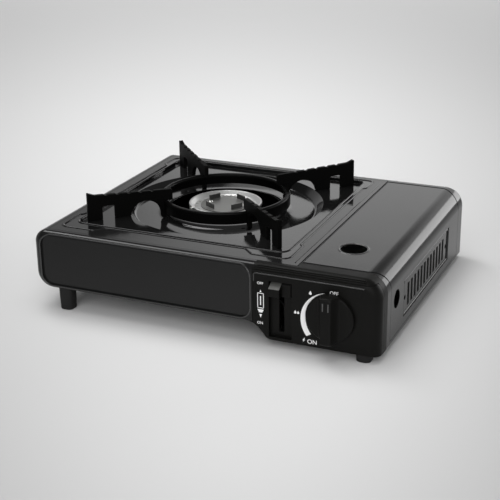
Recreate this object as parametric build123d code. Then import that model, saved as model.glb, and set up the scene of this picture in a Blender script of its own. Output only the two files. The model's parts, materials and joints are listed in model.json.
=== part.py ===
from build123d import *
import math
import os

# Portable butane stove: +X to the right, -Y to the front, +Z up, millimetres.
# The origin is the centre of the footprint on the table.

# Casing
LENGTH = 343.0
DEPTH = 280.0
TOP = 76.5
LEFT_BOTTOM = 22.5
RIGHT_BOTTOM = 7.5
SHEET = 0.8
EDGE_R = 9.0
EDGE_CUT = 6.0
TOP_LEFT_R = 11.0
BOTTOM_LEFT_R = 20.0
LID_BEND_R = 18.5
STEP_X = 57.0
STEP_RUN = 9.0
STEP_INNER_R = 19.0
STEP_OUTER_R = 9.5
RIM_WIDTH = 20.0
BASE_MARGIN = 12.0
INSET_X0 = -162.5
INSET_X1 = 51.5
INSET_Z0 = 24.8
INSET_Z1 = 73.5
INSET_R = 10.0
INSET_DEPTH = 2.0

# Gaps
SEAM = 0.4
RUN = 0.3
FIT = 0.05
PRESS = 0.02
OVER = 1.0

# Top plate, drip tray and pan support
PLATE_MARGIN = 11.5
FRAME_LEDGE = 2.5
LEDGE = 5.0
TRAY_CX = -37.0
TRAY_CY = 14.8
TRAY_X = 215.0
TRAY_Y = 220.0
TRAY_RIM = 6.5
TRAY_CORNER_R = 8.0
TRAY_FLOOR = 73.5
TRAY_SHEET = 0.8
EAR_X = 3.2
EAR_Y = 10.0
EAR_LENGTH_X = 33.0
EAR_LENGTH_Y = 27.0
BURNER_X = -40.3
BURNER_Y = 18.0
BOWL_R = 98.0
BOWL_FLOOR_R = 91.0
BOWL_DEPTH = 8.0
BOWL_CONE_R = 68.0
BOWL_RISE = 4.5
BOWL_HOLE_R = 56.0
BOWL_LIP = 3.0
BOWL_BEND = 4.0
RING_R = 65.0
RING_WIDTH = 4.8
RING_SHEET = 1.0
RING_BOTTOM = 73.0
RING_TOP = 84.6
ARM_T = 4.0
ARM_R = 141.5
ARM_TIP = 101.7
ARM_TOP_OUT = 98.8
ARM_TOP_IN = 95.6
ARM_INNER_R = 56.0
ARM_LEG = 14.5
ARM_SLOT = 12.5
ARM_SLOT_TOP = 87.0
ARM_ARCH_R = 15.5
ARM_NECK = 3.0
ARM_HOOK_R = 63.0
ARM_HOOK_BOTTOM = 66.2
ARM_HOOK_RISE = 2.4
ARM_NOTCHES = 5
ARM_NOTCH_R = 2.6
ARM_NOTCH_LIFT = 1.6
ARM_ROUND = 2.0

# Lid
LID_SEAM_X = 92.7
LID_TOP_FRONT = 20.0
LID_TOP_REAR = 13.0
LID_SIDE_FRONT = 30.0
LID_SIDE_REAR = 23.0
LID_BOTTOM = 10.2
HINGE_IN = 6.0
HINGE_DROP = 3.5
HINGE_PIN_R = 2.0
HINGE_EAR = 3.4
HINGE_LEAF = 6.0
HINGE_HALF = 4.6
LID_HOLE_R = 12.0
LID_HOLE_X = 124.0
LID_HOLE_FROM_FRONT = 68.0
SIDE_HOLE_R = 8.5
SIDE_HOLE_FROM_FRONT = 47.0
SIDE_HOLE_Z = 44.5
LOUVRE_FROM_FRONT = 68.0
LOUVRE_LENGTH = 154.0
LOUVRE_Z0 = 17.0
LOUVRE_Z1 = 53.0
LOUVRE_DEPTH = 1.2
SLOT_COUNT = 12
SLOT_PITCH = 10.6
SLOT_WIDTH = 3.6
SLOT_Z0 = 23.5
SLOT_Z1 = 44.5
DOT_R = 2.3

# Control panel, knob and lever
PANEL_T = 2.2
PANEL_X0 = 54.0
PANEL_TOP = 72.0
PANEL_WRAP = 12.0
KNOB_X = 127.4
KNOB_Z = 38.6
KNOB_R = 22.0
KNOB_PROUD = 14.0
KNOB_SKIRT = 4.0
KNOB_BAR = 13.0
KNOB_FACE = 4.0
KNOB_TURN = 148.0
SPINDLE_R = 3.0
SPINDLE_END = 20.0
SPINDLE_HOLE_R = 5.0
CHANNEL_X0 = 70.0
CHANNEL_X1 = 91.5
CHANNEL_Z0 = 10.5
CHANNEL_Z1 = 63.5
CHANNEL_DEPTH = 4.0
CHANNEL_WALL = 1.8
LEVER_SLOT_X = 80.7
LEVER_SLOT = 5.0
LEVER_STEM = 4.0
LEVER_HEIGHT = 12.5
LEVER_PROUD = 5.0
LEVER_TRAVEL = 36.0
LEVER_GAP = 1.0
LEVER_ROUND = 2.0
LEVER_STEM_DROP = 2.0
SLIDER_T = 2.0
LEVER_PIN_R = 2.0
LEVER_PIN_FROM_FRONT = 16.0
PUSH_TRAVEL = 5.0

# Cartridge bay
CAN_X = 130.0
CAN_R = 33.0
CAN_FRONT = 66.0
CAN_LENGTH = 184.0
SHIELD_X = 89.8
SHIELD_FRONT = 39.0
SHIELD_REAR = 10.0
PUSHER_T = 2.0
PUSHER_ARM_Z = 54.0
PUSHER_ARM = 8.0
PUSHER_EDGE = 4.4
PUSHER_HEAD = 6.0
PUSHER_GAP = 1.0
GUIDE_T = 3.0
GUIDE_H = 13.0

# Gas train
REG_R = 20.0
REG_FRONT = 14.0
REG_LENGTH = 28.0
COVER_R = 22.0
COVER_T = 4.0
INLET_R = 9.0
INLET_LENGTH = 12.0
INLET_BORE_R = 2.3
INLET_BORE = 10.0
SEAL_R = 8.0
SEAL_T = 1.5
SEAL_HOLE_R = 3.3
BRACKET_T = 1.6
BRACKET_HALF = 13.0
GAS_Z = 47.0
GAS_BOSS_R = 4.5
GAS_BOSS = 4.0
PIPE_R = 2.5
PIPE_X = 80.0
PIPE_FROM_FRONT = 33.0
PIPE_BEND = 12.0
JET_X = 50.0
JET_R = 5.0
JET_LENGTH = 14.0
JET_SHANK_R = 3.5
JET_SHANK = 5.0
JET_BORE_R = 0.6
JET_WALL = 2.0
TUBE_R = 8.0
TUBE_WALL = 1.2
TUBE_AIR = 7.0
TUBE_SEAT = 8.0
NECK_R = 14.0
BURNER_BOTTOM = 38.0
BURNER_CUP_R = 31.0
BURNER_CUP_Z = 60.0
BURNER_CUP_DROP = 4.0
BURNER_POST_R = 3.75
BURNER_SEAT = 69.0
BURNER_WALL = 2.0
HEAD_R = 36.8
HEAD_TOP = 74.7
HEAD_FLOOR = 71.0
HEAD_HOLE_R = 22.0
HEAD_RIM = 2.0
HEAD_RIM_DROP = 4.0
PORTS = 24
PORT_R = 29.0
PORT_LENGTH = 3.2
PORT_WIDTH = 1.6
CAP_R = 25.0
CAP_T = 1.2
CAP_TABS = 4
TAB_R = 19.0
TAB_W = 13.0
TAB_H = 6.5
TAB_TURN = 60.0
FRAME_T = 1.6
FRAME_W = 24.0
FRAME_EDGE = 4.0
FRAME_HALF = 47.0
FRAME_FOOT = 10.0
ROD_R = 1.0
INSULATOR_R = 3.0
INSULATOR_AT = 36.5
INSULATOR_SIDE = 21.0
INSULATOR_TOP = 70.0
ELECTRODE_TOP = 77.0
ELECTRODE_TAIL = 6.0
ELECTRODE_BEND = 6.0

# Igniter
CAM_R = 7.0
CAM_LIFT = 5.0
CAM_T = 4.0
CAM_FROM_FRONT = 4.0
CAM_STEPS = 30
CAM_RETURN = 40.0
PLUNGER_R = 2.5
PLUNGER_LENGTH = 15.0
IGNITER_X0 = 144.0
IGNITER_X1 = 162.0
IGNITER_DEPTH = 11.0
IGNITER_HALF = 7.0
IGNITER_WALL = 2.0
LEAD_R = 1.2
LEAD_LIFT = 3.8
LEAD_FROM_FRONT = 32.0
LEAD_RISE_X = 72.0
LEAD_TURN_X = 0.0
LEAD_BEND = 7.0

# Feet and fasteners
FOOT_LEFT_X = -141.0
FOOT_RIGHT_X = 156.0
FOOT_W = 15.0
FOOT_D = 15.0
FOOT_TAPER = 1.5
FOOT_INSET_LEFT = 1.0
FOOT_INSET_RIGHT = 1.0
FOOT_R = 5.0
SCREW_R = 1.5
SCREW_HEAD_R = 3.0
SCREW_HEAD = 1.6
SCREW_REACH = 6.0
BASE_SCREW_X = (-110.0, 20.0, 80.0, 140.0)

HALF = LENGTH / 2
FRONT = KNOB_PROUD - (DEPTH + KNOB_PROUD) / 2
REAR = FRONT + DEPTH
UNDER = TOP - SHEET
PLATE_X1 = LID_SEAM_X - SEAM
HINGE_X = LID_SEAM_X + HINGE_IN
HINGE_Z = TOP - HINGE_DROP
BASE_TOP_LEFT = LEFT_BOTTOM + 2 * SHEET
BASE_TOP_RIGHT = RIGHT_BOTTOM + 2 * SHEET
CAN_Z = BASE_TOP_RIGHT + CAN_R
CAN_Y0 = FRONT + CAN_FRONT
CAN_Y1 = CAN_Y0 + CAN_LENGTH
PANEL_IN = FRONT + PANEL_T
FRAME_TOP = BURNER_BOTTOM
ELECTRODE_X = BURNER_X - INSULATOR_SIDE
ELECTRODE_Y = BURNER_Y - INSULATOR_AT
PUSHER_X = SHIELD_X + SHEET + RUN
PUSHER_LUG_X = PUSHER_X - 2 * RUN


def block(x0, x1, y0, y1, z0, z1):
    """Box between two corners."""
    return Pos((x0 + x1) / 2, (y0 + y1) / 2, (z0 + z1) / 2) * Box(x1 - x0, y1 - y0, z1 - z0)


def rod_x(x0, x1, y, z, r):
    """Cylinder along X."""
    return Pos((x0 + x1) / 2, y, z) * Rot(0, 90, 0) * Cylinder(r, x1 - x0)


def rod_y(y0, y1, x, z, r):
    """Cylinder along Y."""
    return Pos(x, (y0 + y1) / 2, z) * Rot(90, 0, 0) * Cylinder(r, y1 - y0)


def rod_z(z0, z1, x, y, r):
    """Cylinder along Z."""
    return Pos(x, y, (z0 + z1) / 2) * Cylinder(r, z1 - z0)


def outline(points, radii):
    """Closed face through points with a radius at each corner."""
    return make_face(FilletPolyline(*points, radius=radii, close=True))


def across(face, y0, y1):
    """Extrude a face drawn in X and Z from y0 to y1."""
    return extrude(Plane.XZ.offset(-y1) * face, y1 - y0)


def upward(face, z0, z1):
    """Extrude a face drawn in X and Y from z0 to z1."""
    return extrude(Pos(0, 0, z0) * face, z1 - z0)


def turned(points, radii):
    """Solid of revolution of an (r, z) outline about the burner axis."""
    ring = revolve(Plane.XZ * outline(points, radii), Axis.Z)
    return Pos(BURNER_X, BURNER_Y, 0) * ring


def casing_profile(drop=0):
    """Front view of the casing, low at the right and stepped up at the left, its bottom lowered by drop."""
    points = [
        (-HALF, TOP),
        (-HALF, LEFT_BOTTOM - drop),
        (STEP_X, LEFT_BOTTOM - drop),
        (STEP_X + STEP_RUN, RIGHT_BOTTOM - drop),
        (HALF, RIGHT_BOTTOM - drop),
        (HALF, TOP),
    ]
    radii = [TOP_LEFT_R, BOTTOM_LEFT_R, STEP_INNER_R, STEP_OUTER_R, 0, LID_BEND_R]
    return outline(points, radii)


def envelope(inset):
    """Casing volume with rounded front and rear edges, crisp at the bottom, shrunk by inset on every side."""
    face, deep = casing_profile(), casing_profile(EDGE_CUT)
    if inset > 0:
        face, deep = offset(face, -inset), offset(deep, -inset)
    solid = across(deep, FRONT + inset, REAR - inset)
    ends = solid.faces().filter_by(Axis.Y).edges()
    return fillet(ends, EDGE_R - inset) & across(face, FRONT, REAR)


def lid_region(gap):
    """Space that the lid takes out of the casing, shrunk by gap along its seams."""
    bend = HALF - LID_BEND_R
    inner = bend - 2 * SEAM
    top0, top1 = FRONT + LID_TOP_FRONT + gap, REAR - LID_TOP_REAR - gap
    side0, side1 = FRONT + LID_SIDE_FRONT + gap, REAR - LID_SIDE_REAR - gap
    flat = block(LID_SEAM_X + gap, bend - gap, top0, top1, UNDER - gap, TOP + OVER)
    points = [
        (inner, top0),
        (bend, top0),
        (HALF, side0),
        (HALF + OVER, side0),
        (HALF + OVER, side1),
        (HALF, side1),
        (bend, top1),
        (inner, top1),
    ]
    return flat + upward(outline(points, [0] * len(points)), LID_BOTTOM + gap, TOP + OVER)


def panel_region(gap):
    """Space of the control panel at the front right corner, shrunk by gap."""
    return block(PANEL_X0 + gap, HALF + OVER, FRONT - OVER, FRONT + PANEL_WRAP - gap, 0, PANEL_TOP - gap)


def tray_outline(grow):
    """Tray rim with an ear at each corner, grown outwards."""
    half_x = TRAY_X / 2 + TRAY_RIM
    half_y = TRAY_Y / 2 + TRAY_RIM
    left, right = TRAY_CX - half_x, TRAY_CX + half_x
    front, rear = TRAY_CY - half_y, TRAY_CY + half_y
    points = [
        (left - EAR_X, front - EAR_Y),
        (left + EAR_LENGTH_X, front - EAR_Y),
        (left + EAR_LENGTH_X + EAR_Y, front),
        (right - EAR_LENGTH_X - EAR_Y, front),
        (right - EAR_LENGTH_X, front - EAR_Y),
        (right + EAR_X, front - EAR_Y),
        (right + EAR_X, front + EAR_LENGTH_Y),
        (right, front + EAR_LENGTH_Y + EAR_X),
        (right, rear - EAR_LENGTH_Y - EAR_X),
        (right + EAR_X, rear - EAR_LENGTH_Y),
        (right + EAR_X, rear),
        (left - EAR_X, rear),
        (left - EAR_X, rear - EAR_LENGTH_Y),
        (left, rear - EAR_LENGTH_Y - EAR_X),
        (left, front + EAR_LENGTH_Y + EAR_X),
        (left - EAR_X, front + EAR_LENGTH_Y),
    ]
    corner, jog = TRAY_CORNER_R, TRAY_CORNER_R / 2
    radii = [corner, jog, jog, jog, jog, corner, jog, jog, jog, jog, corner, corner, jog, jog, jog, jog]
    face = outline(points, radii)
    return offset(face, grow) if grow else face


def rounded(cx, cy, width, height, radius):
    """Rounded rectangle about a centre."""
    return Pos(cx, cy) * RectangleRounded(width, height, radius)


def screw_up(x, y, z, reach):
    """Pan-head screw driven upwards, head below z."""
    return rod_z(z - SCREW_HEAD, z, x, y, SCREW_HEAD_R) + rod_z(z, z + reach, x, y, SCREW_R)


def screw_down(x, y, z, reach):
    """Pan-head screw driven downwards, head above z."""
    return rod_z(z, z + SCREW_HEAD, x, y, SCREW_HEAD_R) + rod_z(z - reach, z, x, y, SCREW_R)


def screw_back(x, y, z, reach):
    """Pan-head screw driven towards the rear, head in front of y."""
    return rod_y(y - SCREW_HEAD, y, x, z, SCREW_HEAD_R) + rod_y(y, y + reach, x, z, SCREW_R)


def bottom_at(x):
    """Height of the casing's underside at x, away from the step."""
    return LEFT_BOTTOM if x < STEP_X else RIGHT_BOTTOM


def base_screw_places():
    """Screws through the bottom rim, in a front and a rear row."""
    rows = (FRONT + (BASE_MARGIN + RIM_WIDTH) / 2, REAR - (BASE_MARGIN + RIM_WIDTH) / 2)
    return [(x, y, bottom_at(x)) for x in BASE_SCREW_X for y in rows]


def make_body_shell(outer, inner):
    """Pressed casing: walls, rounded frame round the top, and bottom rim."""
    shell = outer - inner
    inset_w, inset_h = INSET_X1 - INSET_X0, INSET_Z1 - INSET_Z0
    inset_cx, inset_cz = (INSET_X0 + INSET_X1) / 2, (INSET_Z0 + INSET_Z1) / 2
    pan = rounded(inset_cx, inset_cz, inset_w + 2 * SHEET, inset_h + 2 * SHEET, INSET_R + SHEET)
    well = rounded(inset_cx, inset_cz, inset_w, inset_h, INSET_R)
    shell += across(pan, FRONT, FRONT + INSET_DEPTH + SHEET) & outer
    shell -= across(well, FRONT - OVER, FRONT + INSET_DEPTH)
    plate_x0 = -HALF + PLATE_MARGIN
    plate_y0, plate_y1 = FRONT + PLATE_MARGIN, REAR - PLATE_MARGIN
    shell -= block(plate_x0, LID_SEAM_X, plate_y0, plate_y1, UNDER - OVER, TOP + OVER)
    shell += block(plate_x0 - FRAME_LEDGE, LID_SEAM_X - 2 * SEAM,
                   plate_y0 - FRAME_LEDGE, plate_y1 + FRAME_LEDGE, UNDER - SHEET, UNDER) & inner
    shell -= block(plate_x0 + FRAME_LEDGE, LID_SEAM_X - LEDGE,
                   plate_y0 + FRAME_LEDGE, plate_y1 - FRAME_LEDGE, UNDER - 2 * OVER, UNDER + OVER)
    shell -= lid_region(0)
    shell -= panel_region(0)
    shell -= block(-HALF + BOTTOM_LEFT_R + RIM_WIDTH / 2, HALF - RIM_WIDTH / 2,
                   FRONT + RIM_WIDTH, REAR - RIM_WIDTH, 0, BASE_TOP_LEFT + OVER)
    for x, y, z in base_screw_places():
        shell -= rod_z(z - OVER, z + 3 * OVER, x, y, SCREW_R + FIT)
    return shell


def make_top_plate():
    """Top sheet with a stepped opening for the drip tray."""
    plate = block(-HALF + PLATE_MARGIN + SEAM, PLATE_X1 - SEAM, FRONT + PLATE_MARGIN + SEAM,
                  REAR - PLATE_MARGIN - SEAM, UNDER, TOP)
    ledge_top = TOP - SHEET - SEAM
    plate += upward(tray_outline(SEAM + SHEET), ledge_top - SHEET, UNDER)
    plate -= upward(tray_outline(SEAM), ledge_top, TOP + OVER)
    plate -= upward(tray_outline(-LEDGE), ledge_top - SHEET - OVER, TOP + OVER)
    return plate


def make_drip_tray():
    """Enamelled tray: flat rim with ears, shallow floor and a round bowl with the burner hole."""
    flange_top = TOP - SHEET / 4
    floor = rounded(TRAY_CX, TRAY_CY, TRAY_X, TRAY_Y, TRAY_CORNER_R)
    wall = 2 * TRAY_SHEET
    tub = rounded(TRAY_CX, TRAY_CY, TRAY_X + wall, TRAY_Y + wall, TRAY_CORNER_R + TRAY_SHEET)
    tray = upward(tray_outline(0), flange_top - TRAY_SHEET, flange_top)
    tray += upward(tub, TRAY_FLOOR - TRAY_SHEET, flange_top)
    tray -= upward(floor, TRAY_FLOOR, TOP + OVER)
    tray -= rod_z(TRAY_FLOOR - 2 * OVER, TRAY_FLOOR + OVER, BURNER_X, BURNER_Y, BOWL_R + OVER)
    low = TRAY_FLOOR - BOWL_DEPTH
    lip = low + BOWL_RISE
    slip = TRAY_SHEET * math.tan(math.atan2(BOWL_DEPTH, BOWL_R - BOWL_FLOOR_R) / 2)
    rise = TRAY_SHEET * math.tan(math.atan2(BOWL_RISE, BOWL_CONE_R - BOWL_HOLE_R - BOWL_LIP) / 2)
    points = [
        (BOWL_R + OVER, TRAY_FLOOR),
        (BOWL_R, TRAY_FLOOR),
        (BOWL_FLOOR_R, low),
        (BOWL_CONE_R, low),
        (BOWL_HOLE_R + BOWL_LIP, lip),
        (BOWL_HOLE_R, lip),
        (BOWL_HOLE_R, lip - TRAY_SHEET),
        (BOWL_HOLE_R + BOWL_LIP - rise, lip - TRAY_SHEET),
        (BOWL_CONE_R - rise, low - TRAY_SHEET),
        (BOWL_FLOOR_R - slip, low - TRAY_SHEET),
        (BOWL_R - slip, TRAY_FLOOR - TRAY_SHEET),
        (BOWL_R + OVER, TRAY_FLOOR - TRAY_SHEET),
    ]
    return tray + turned(points, [0, 0, BOWL_BEND, 0, 0, 0, 0, 0, 0, BOWL_BEND, 0, 0])


def make_pan_ring():
    """Pressed ring with a turned-in lip."""
    inner = RING_R - RING_WIDTH
    t = RING_SHEET
    points = [
        (RING_R, RING_BOTTOM),
        (RING_R, RING_TOP),
        (inner, RING_TOP),
        (inner, RING_TOP - 3 * t),
        (inner + t, RING_TOP - 3 * t),
        (inner + t, RING_TOP - t),
        (RING_R - t, RING_TOP - t),
        (RING_R - t, RING_BOTTOM),
    ]
    return turned(points, [0, 2 * t, 2 * t, 0, 0, t, t, 0])


def make_pan_arm(angle):
    """Arm of the pan support: legs on the tray, a notch that holds the ring, and a toothed top edge."""
    foot = TRAY_FLOOR + RUN
    leg2 = ARM_R - ARM_LEG - ARM_SLOT
    arch_r = RING_R + ARM_NECK + ARM_ARCH_R
    tip = ARM_R - ARM_LEG / 2
    points = [
        (ARM_INNER_R, RING_TOP),
        (ARM_INNER_R, ARM_TOP_IN),
        (tip, ARM_TOP_OUT),
        (ARM_R, ARM_TIP),
        (ARM_R, foot),
        (ARM_R - ARM_LEG, foot),
        (ARM_R - ARM_LEG, ARM_SLOT_TOP),
        (leg2, ARM_SLOT_TOP),
        (leg2, foot),
        (RING_R + ARM_NECK, foot),
        (RING_R + ARM_NECK, ARM_HOOK_BOTTOM),
        (ARM_HOOK_R, ARM_HOOK_BOTTOM + ARM_HOOK_RISE),
        (ARM_HOOK_R, RING_BOTTOM),
        (RING_R, RING_BOTTOM),
        (RING_R, RING_TOP),
    ]
    nose, bend = ARM_ROUND / 2, 2 * ARM_ROUND
    radii = [0, ARM_ROUND, bend, nose, 0, 0, ARM_ROUND, ARM_ROUND, 0, 0, ARM_ROUND, ARM_ROUND, 0, 0, 0]
    face = outline(points, radii)
    face -= Pos(arch_r, ARM_SLOT_TOP - ARM_ARCH_R) * Circle(ARM_ARCH_R)
    rise = (ARM_TOP_OUT - ARM_TOP_IN) / (tip - ARM_INNER_R)
    pitch = (tip - RING_R) / (ARM_NOTCHES + 1)
    for k in range(ARM_NOTCHES):
        r = RING_R + pitch * (k + 1)
        face -= Pos(r, ARM_TOP_IN + rise * (r - ARM_INNER_R) + ARM_NOTCH_LIFT) * Circle(ARM_NOTCH_R)
    arm = extrude(Plane.XZ * face, ARM_T / 2, both=True)
    return Pos(BURNER_X, BURNER_Y, 0) * Rot(0, 0, angle) * arm


def make_lid(outer, inner):
    """L-shaped cartridge cover with finger holes and a louvred recess."""
    lid = (outer - inner) & lid_region(SEAM)
    lid -= rod_z(UNDER - 2 * OVER, TOP + OVER, LID_HOLE_X, FRONT + LID_HOLE_FROM_FRONT, LID_HOLE_R)
    lid -= rod_x(HALF - 3 * OVER, HALF + OVER, FRONT + SIDE_HOLE_FROM_FRONT, SIDE_HOLE_Z, SIDE_HOLE_R)
    y0 = FRONT + LOUVRE_FROM_FRONT
    y1 = y0 + LOUVRE_LENGTH
    lid += block(HALF - LOUVRE_DEPTH - SHEET, HALF, y0, y1, LOUVRE_Z0, LOUVRE_Z1)
    lid -= block(HALF - LOUVRE_DEPTH, HALF + OVER, y0 + SHEET, y1 - SHEET,
                 LOUVRE_Z0 + SHEET, LOUVRE_Z1 - SHEET)
    middle = (y0 + y1) / 2
    for k in range(SLOT_COUNT):
        y = middle + (k - (SLOT_COUNT - 1) / 2) * SLOT_PITCH
        lid -= block(HALF - 4 * OVER, HALF + OVER, y - SLOT_WIDTH / 2, y + SLOT_WIDTH / 2, SLOT_Z0, SLOT_Z1)
    reach = (SLOT_COUNT + 1) / 2 * SLOT_PITCH
    for y in (middle - reach, middle + reach):
        lid -= rod_x(HALF - 4 * OVER, HALF + OVER, y, (SLOT_Z0 + SLOT_Z1) / 2, DOT_R)
    return lid


def hinge_places():
    """Seam of the lid at each hinge, with the direction from the lid to the casing."""
    return {"front": (FRONT + LID_TOP_FRONT, -1), "rear": (REAR - LID_TOP_REAR, 1)}


def make_hinge_ear(seam, way):
    """Casing lug that carries a hinge pin."""
    near, far = sorted((seam + way * SEAM, seam + way * (SEAM + HINGE_EAR)))
    lug = block(HINGE_X - HINGE_HALF, HINGE_X + HINGE_HALF, near, far, HINGE_Z - HINGE_HALF, UNDER)
    return lug - rod_y(near - OVER, far + OVER, HINGE_X, HINGE_Z, HINGE_PIN_R + PRESS)


def make_lid_hinge(seam, way):
    """Knuckle under the lid that turns on the pin."""
    near, far = sorted((seam - way * 2 * SEAM, seam - way * (2 * SEAM + HINGE_LEAF)))
    leaf = block(HINGE_X - HINGE_HALF, HINGE_X + HINGE_HALF, near, far, HINGE_Z - HINGE_HALF, UNDER)
    return leaf - rod_y(near - OVER, far + OVER, HINGE_X, HINGE_Z, HINGE_PIN_R + FIT)


def make_hinge_pin(seam, way):
    """Pin through the lug and the knuckle."""
    near, far = sorted((seam + way * (SEAM + HINGE_EAR), seam - way * (2 * SEAM + HINGE_LEAF)))
    return rod_y(near, far, HINGE_X, HINGE_Z, HINGE_PIN_R)


def make_control_panel(outer):
    """Moulded panel with the lever channel and the spindle hole."""
    panel = (outer - envelope(PANEL_T)) & panel_region(SEAM)
    wall = CHANNEL_WALL
    panel += block(CHANNEL_X0 - wall, CHANNEL_X1 + wall, FRONT, FRONT + CHANNEL_DEPTH + wall,
                   CHANNEL_Z0 - wall, CHANNEL_Z1 + wall) & outer
    panel -= block(CHANNEL_X0, CHANNEL_X1, FRONT - OVER, FRONT + CHANNEL_DEPTH, CHANNEL_Z0, CHANNEL_Z1)
    stem_top = lever_top()
    stem_low = stem_top - LEVER_HEIGHT - LEVER_TRAVEL
    panel -= block(LEVER_SLOT_X - LEVER_SLOT / 2, LEVER_SLOT_X + LEVER_SLOT / 2,
                   FRONT, FRONT + CHANNEL_DEPTH + 2 * wall,
                   stem_low + LEVER_STEM_DROP / 2, stem_top - LEVER_STEM_DROP / 2)
    panel -= rod_y(FRONT - OVER, PANEL_IN + OVER, KNOB_X, KNOB_Z, SPINDLE_HOLE_R)
    for x, y in panel_screw_places():
        panel -= rod_z(RIGHT_BOTTOM - OVER, RIGHT_BOTTOM + PANEL_T + OVER, x, y, SCREW_R + FIT)
    return panel


def panel_screw_places():
    """Screws up through the panel's bottom edge."""
    y = FRONT + PANEL_WRAP - SCREW_HEAD_R
    return [(CHANNEL_X1 + 2 * SCREW_HEAD_R, y), (FOOT_RIGHT_X - FOOT_W / 2 - 2 * SCREW_HEAD_R, y)]


def make_knob():
    """Knob: round skirt with a straight grip bar across it."""
    knob = rod_y(FRONT - RUN - KNOB_SKIRT, FRONT - RUN, KNOB_X, KNOB_Z, KNOB_R)
    bar = rod_y(FRONT - KNOB_PROUD, FRONT - RUN, KNOB_X, KNOB_Z, KNOB_R)
    bar &= block(KNOB_X - KNOB_BAR / 2, KNOB_X + KNOB_BAR / 2, FRONT - KNOB_PROUD, FRONT,
                 KNOB_Z - KNOB_R, KNOB_Z + KNOB_R)
    knob += bar
    return knob - rod_y(FRONT - KNOB_PROUD + KNOB_FACE, FRONT, KNOB_X, KNOB_Z, SPINDLE_R + PRESS)


def make_spindle():
    """Valve spindle from the knob into the regulator."""
    return rod_y(FRONT - KNOB_PROUD + KNOB_FACE, FRONT + SPINDLE_END, KNOB_X, KNOB_Z, SPINDLE_R)


def make_igniter_cam():
    """Cam whose radius grows evenly with the turn of the knob."""
    points = []
    for k in range(CAM_STEPS + 1):
        share = k / CAM_STEPS
        angle = -math.radians(KNOB_TURN * share)
        radius = CAM_R + CAM_LIFT * share
        points.append((radius * math.cos(angle), radius * math.sin(angle)))
    after = -math.radians(KNOB_TURN + CAM_RETURN)
    points.append((CAM_R * math.cos(after), CAM_R * math.sin(after)))
    points.append((0, CAM_R))
    face = make_face(Polyline(*points, close=True)) - Circle(SPINDLE_R + PRESS)
    y0 = PANEL_IN + CAM_FROM_FRONT / 2
    return across(Pos(KNOB_X, KNOB_Z) * face, y0, y0 + CAM_T)


def make_plunger():
    """Igniter plunger with a round nose against the cam."""
    y = PANEL_IN + (CAM_FROM_FRONT + CAM_T) / 2
    x0 = KNOB_X + CAM_R + RUN + PLUNGER_R
    nose = Pos(x0, y, KNOB_Z) * Sphere(PLUNGER_R)
    return rod_x(x0, x0 + PLUNGER_LENGTH - PLUNGER_R, y, KNOB_Z, PLUNGER_R) + nose


def make_igniter_body():
    """Piezo block on the back of the panel."""
    body = block(IGNITER_X0, IGNITER_X1, PANEL_IN, PANEL_IN + IGNITER_DEPTH, KNOB_Z - IGNITER_HALF,
                 KNOB_Z + IGNITER_HALF)
    y = PANEL_IN + (CAM_FROM_FRONT + CAM_T) / 2
    return body - rod_x(IGNITER_X0 - OVER, IGNITER_X1 - IGNITER_WALL, y, KNOB_Z, PLUNGER_R + FIT)


def make_lever():
    """Lever tab in the channel with a stem through its slot."""
    top = lever_top()
    tab = block(CHANNEL_X0 + LEVER_GAP, CHANNEL_X1 - LEVER_GAP,
                FRONT - LEVER_PROUD, FRONT + CHANNEL_DEPTH - RUN, top - LEVER_HEIGHT, top)
    tab = fillet(tab.edges().filter_by(Axis.X).group_by(Axis.Y)[0], LEVER_ROUND)
    stem = block(LEVER_SLOT_X - LEVER_STEM / 2, LEVER_SLOT_X + LEVER_STEM / 2, FRONT, slider_front(),
                 top - LEVER_HEIGHT + LEVER_STEM_DROP, top - LEVER_STEM_DROP)
    return tab + stem


def slider_front():
    """Front face of the lever's slider, just behind the channel."""
    return FRONT + CHANNEL_DEPTH + CHANNEL_WALL + RUN


def make_lever_slider():
    """Steel plate behind the channel with a lug for the pin."""
    y = slider_front()
    top = lever_top()
    plate = block(CHANNEL_X0 + SLIDER_T, PUSHER_LUG_X, y, y + SLIDER_T, top - LEVER_HEIGHT - SLIDER_T, top)
    lug = block(PUSHER_LUG_X - SLIDER_T, PUSHER_LUG_X, y, FRONT + LEVER_PIN_FROM_FRONT + 2 * LEVER_PIN_R,
                lever_pin_z() - 2 * LEVER_PIN_R, lever_pin_z() + 2 * LEVER_PIN_R)
    slider = plate + lug
    hole = rod_x(PUSHER_LUG_X - SLIDER_T - OVER, PUSHER_LUG_X + OVER, FRONT + LEVER_PIN_FROM_FRONT,
                 lever_pin_z(), LEVER_PIN_R + PRESS)
    return slider - hole


def lever_top():
    """Top of the lever tab with the lever up."""
    return CHANNEL_Z1 - LEVER_GAP


def lever_pin_z():
    """Height of the lever pin with the lever up."""
    return lever_top() - LEVER_HEIGHT / 2


def make_lever_pin():
    """Pin that works the slanted slot of the pusher."""
    x1 = PUSHER_X + PUSHER_T + PUSHER_GAP
    return rod_x(PUSHER_LUG_X - SLIDER_T, x1, FRONT + LEVER_PIN_FROM_FRONT, lever_pin_z(), LEVER_PIN_R)


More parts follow.
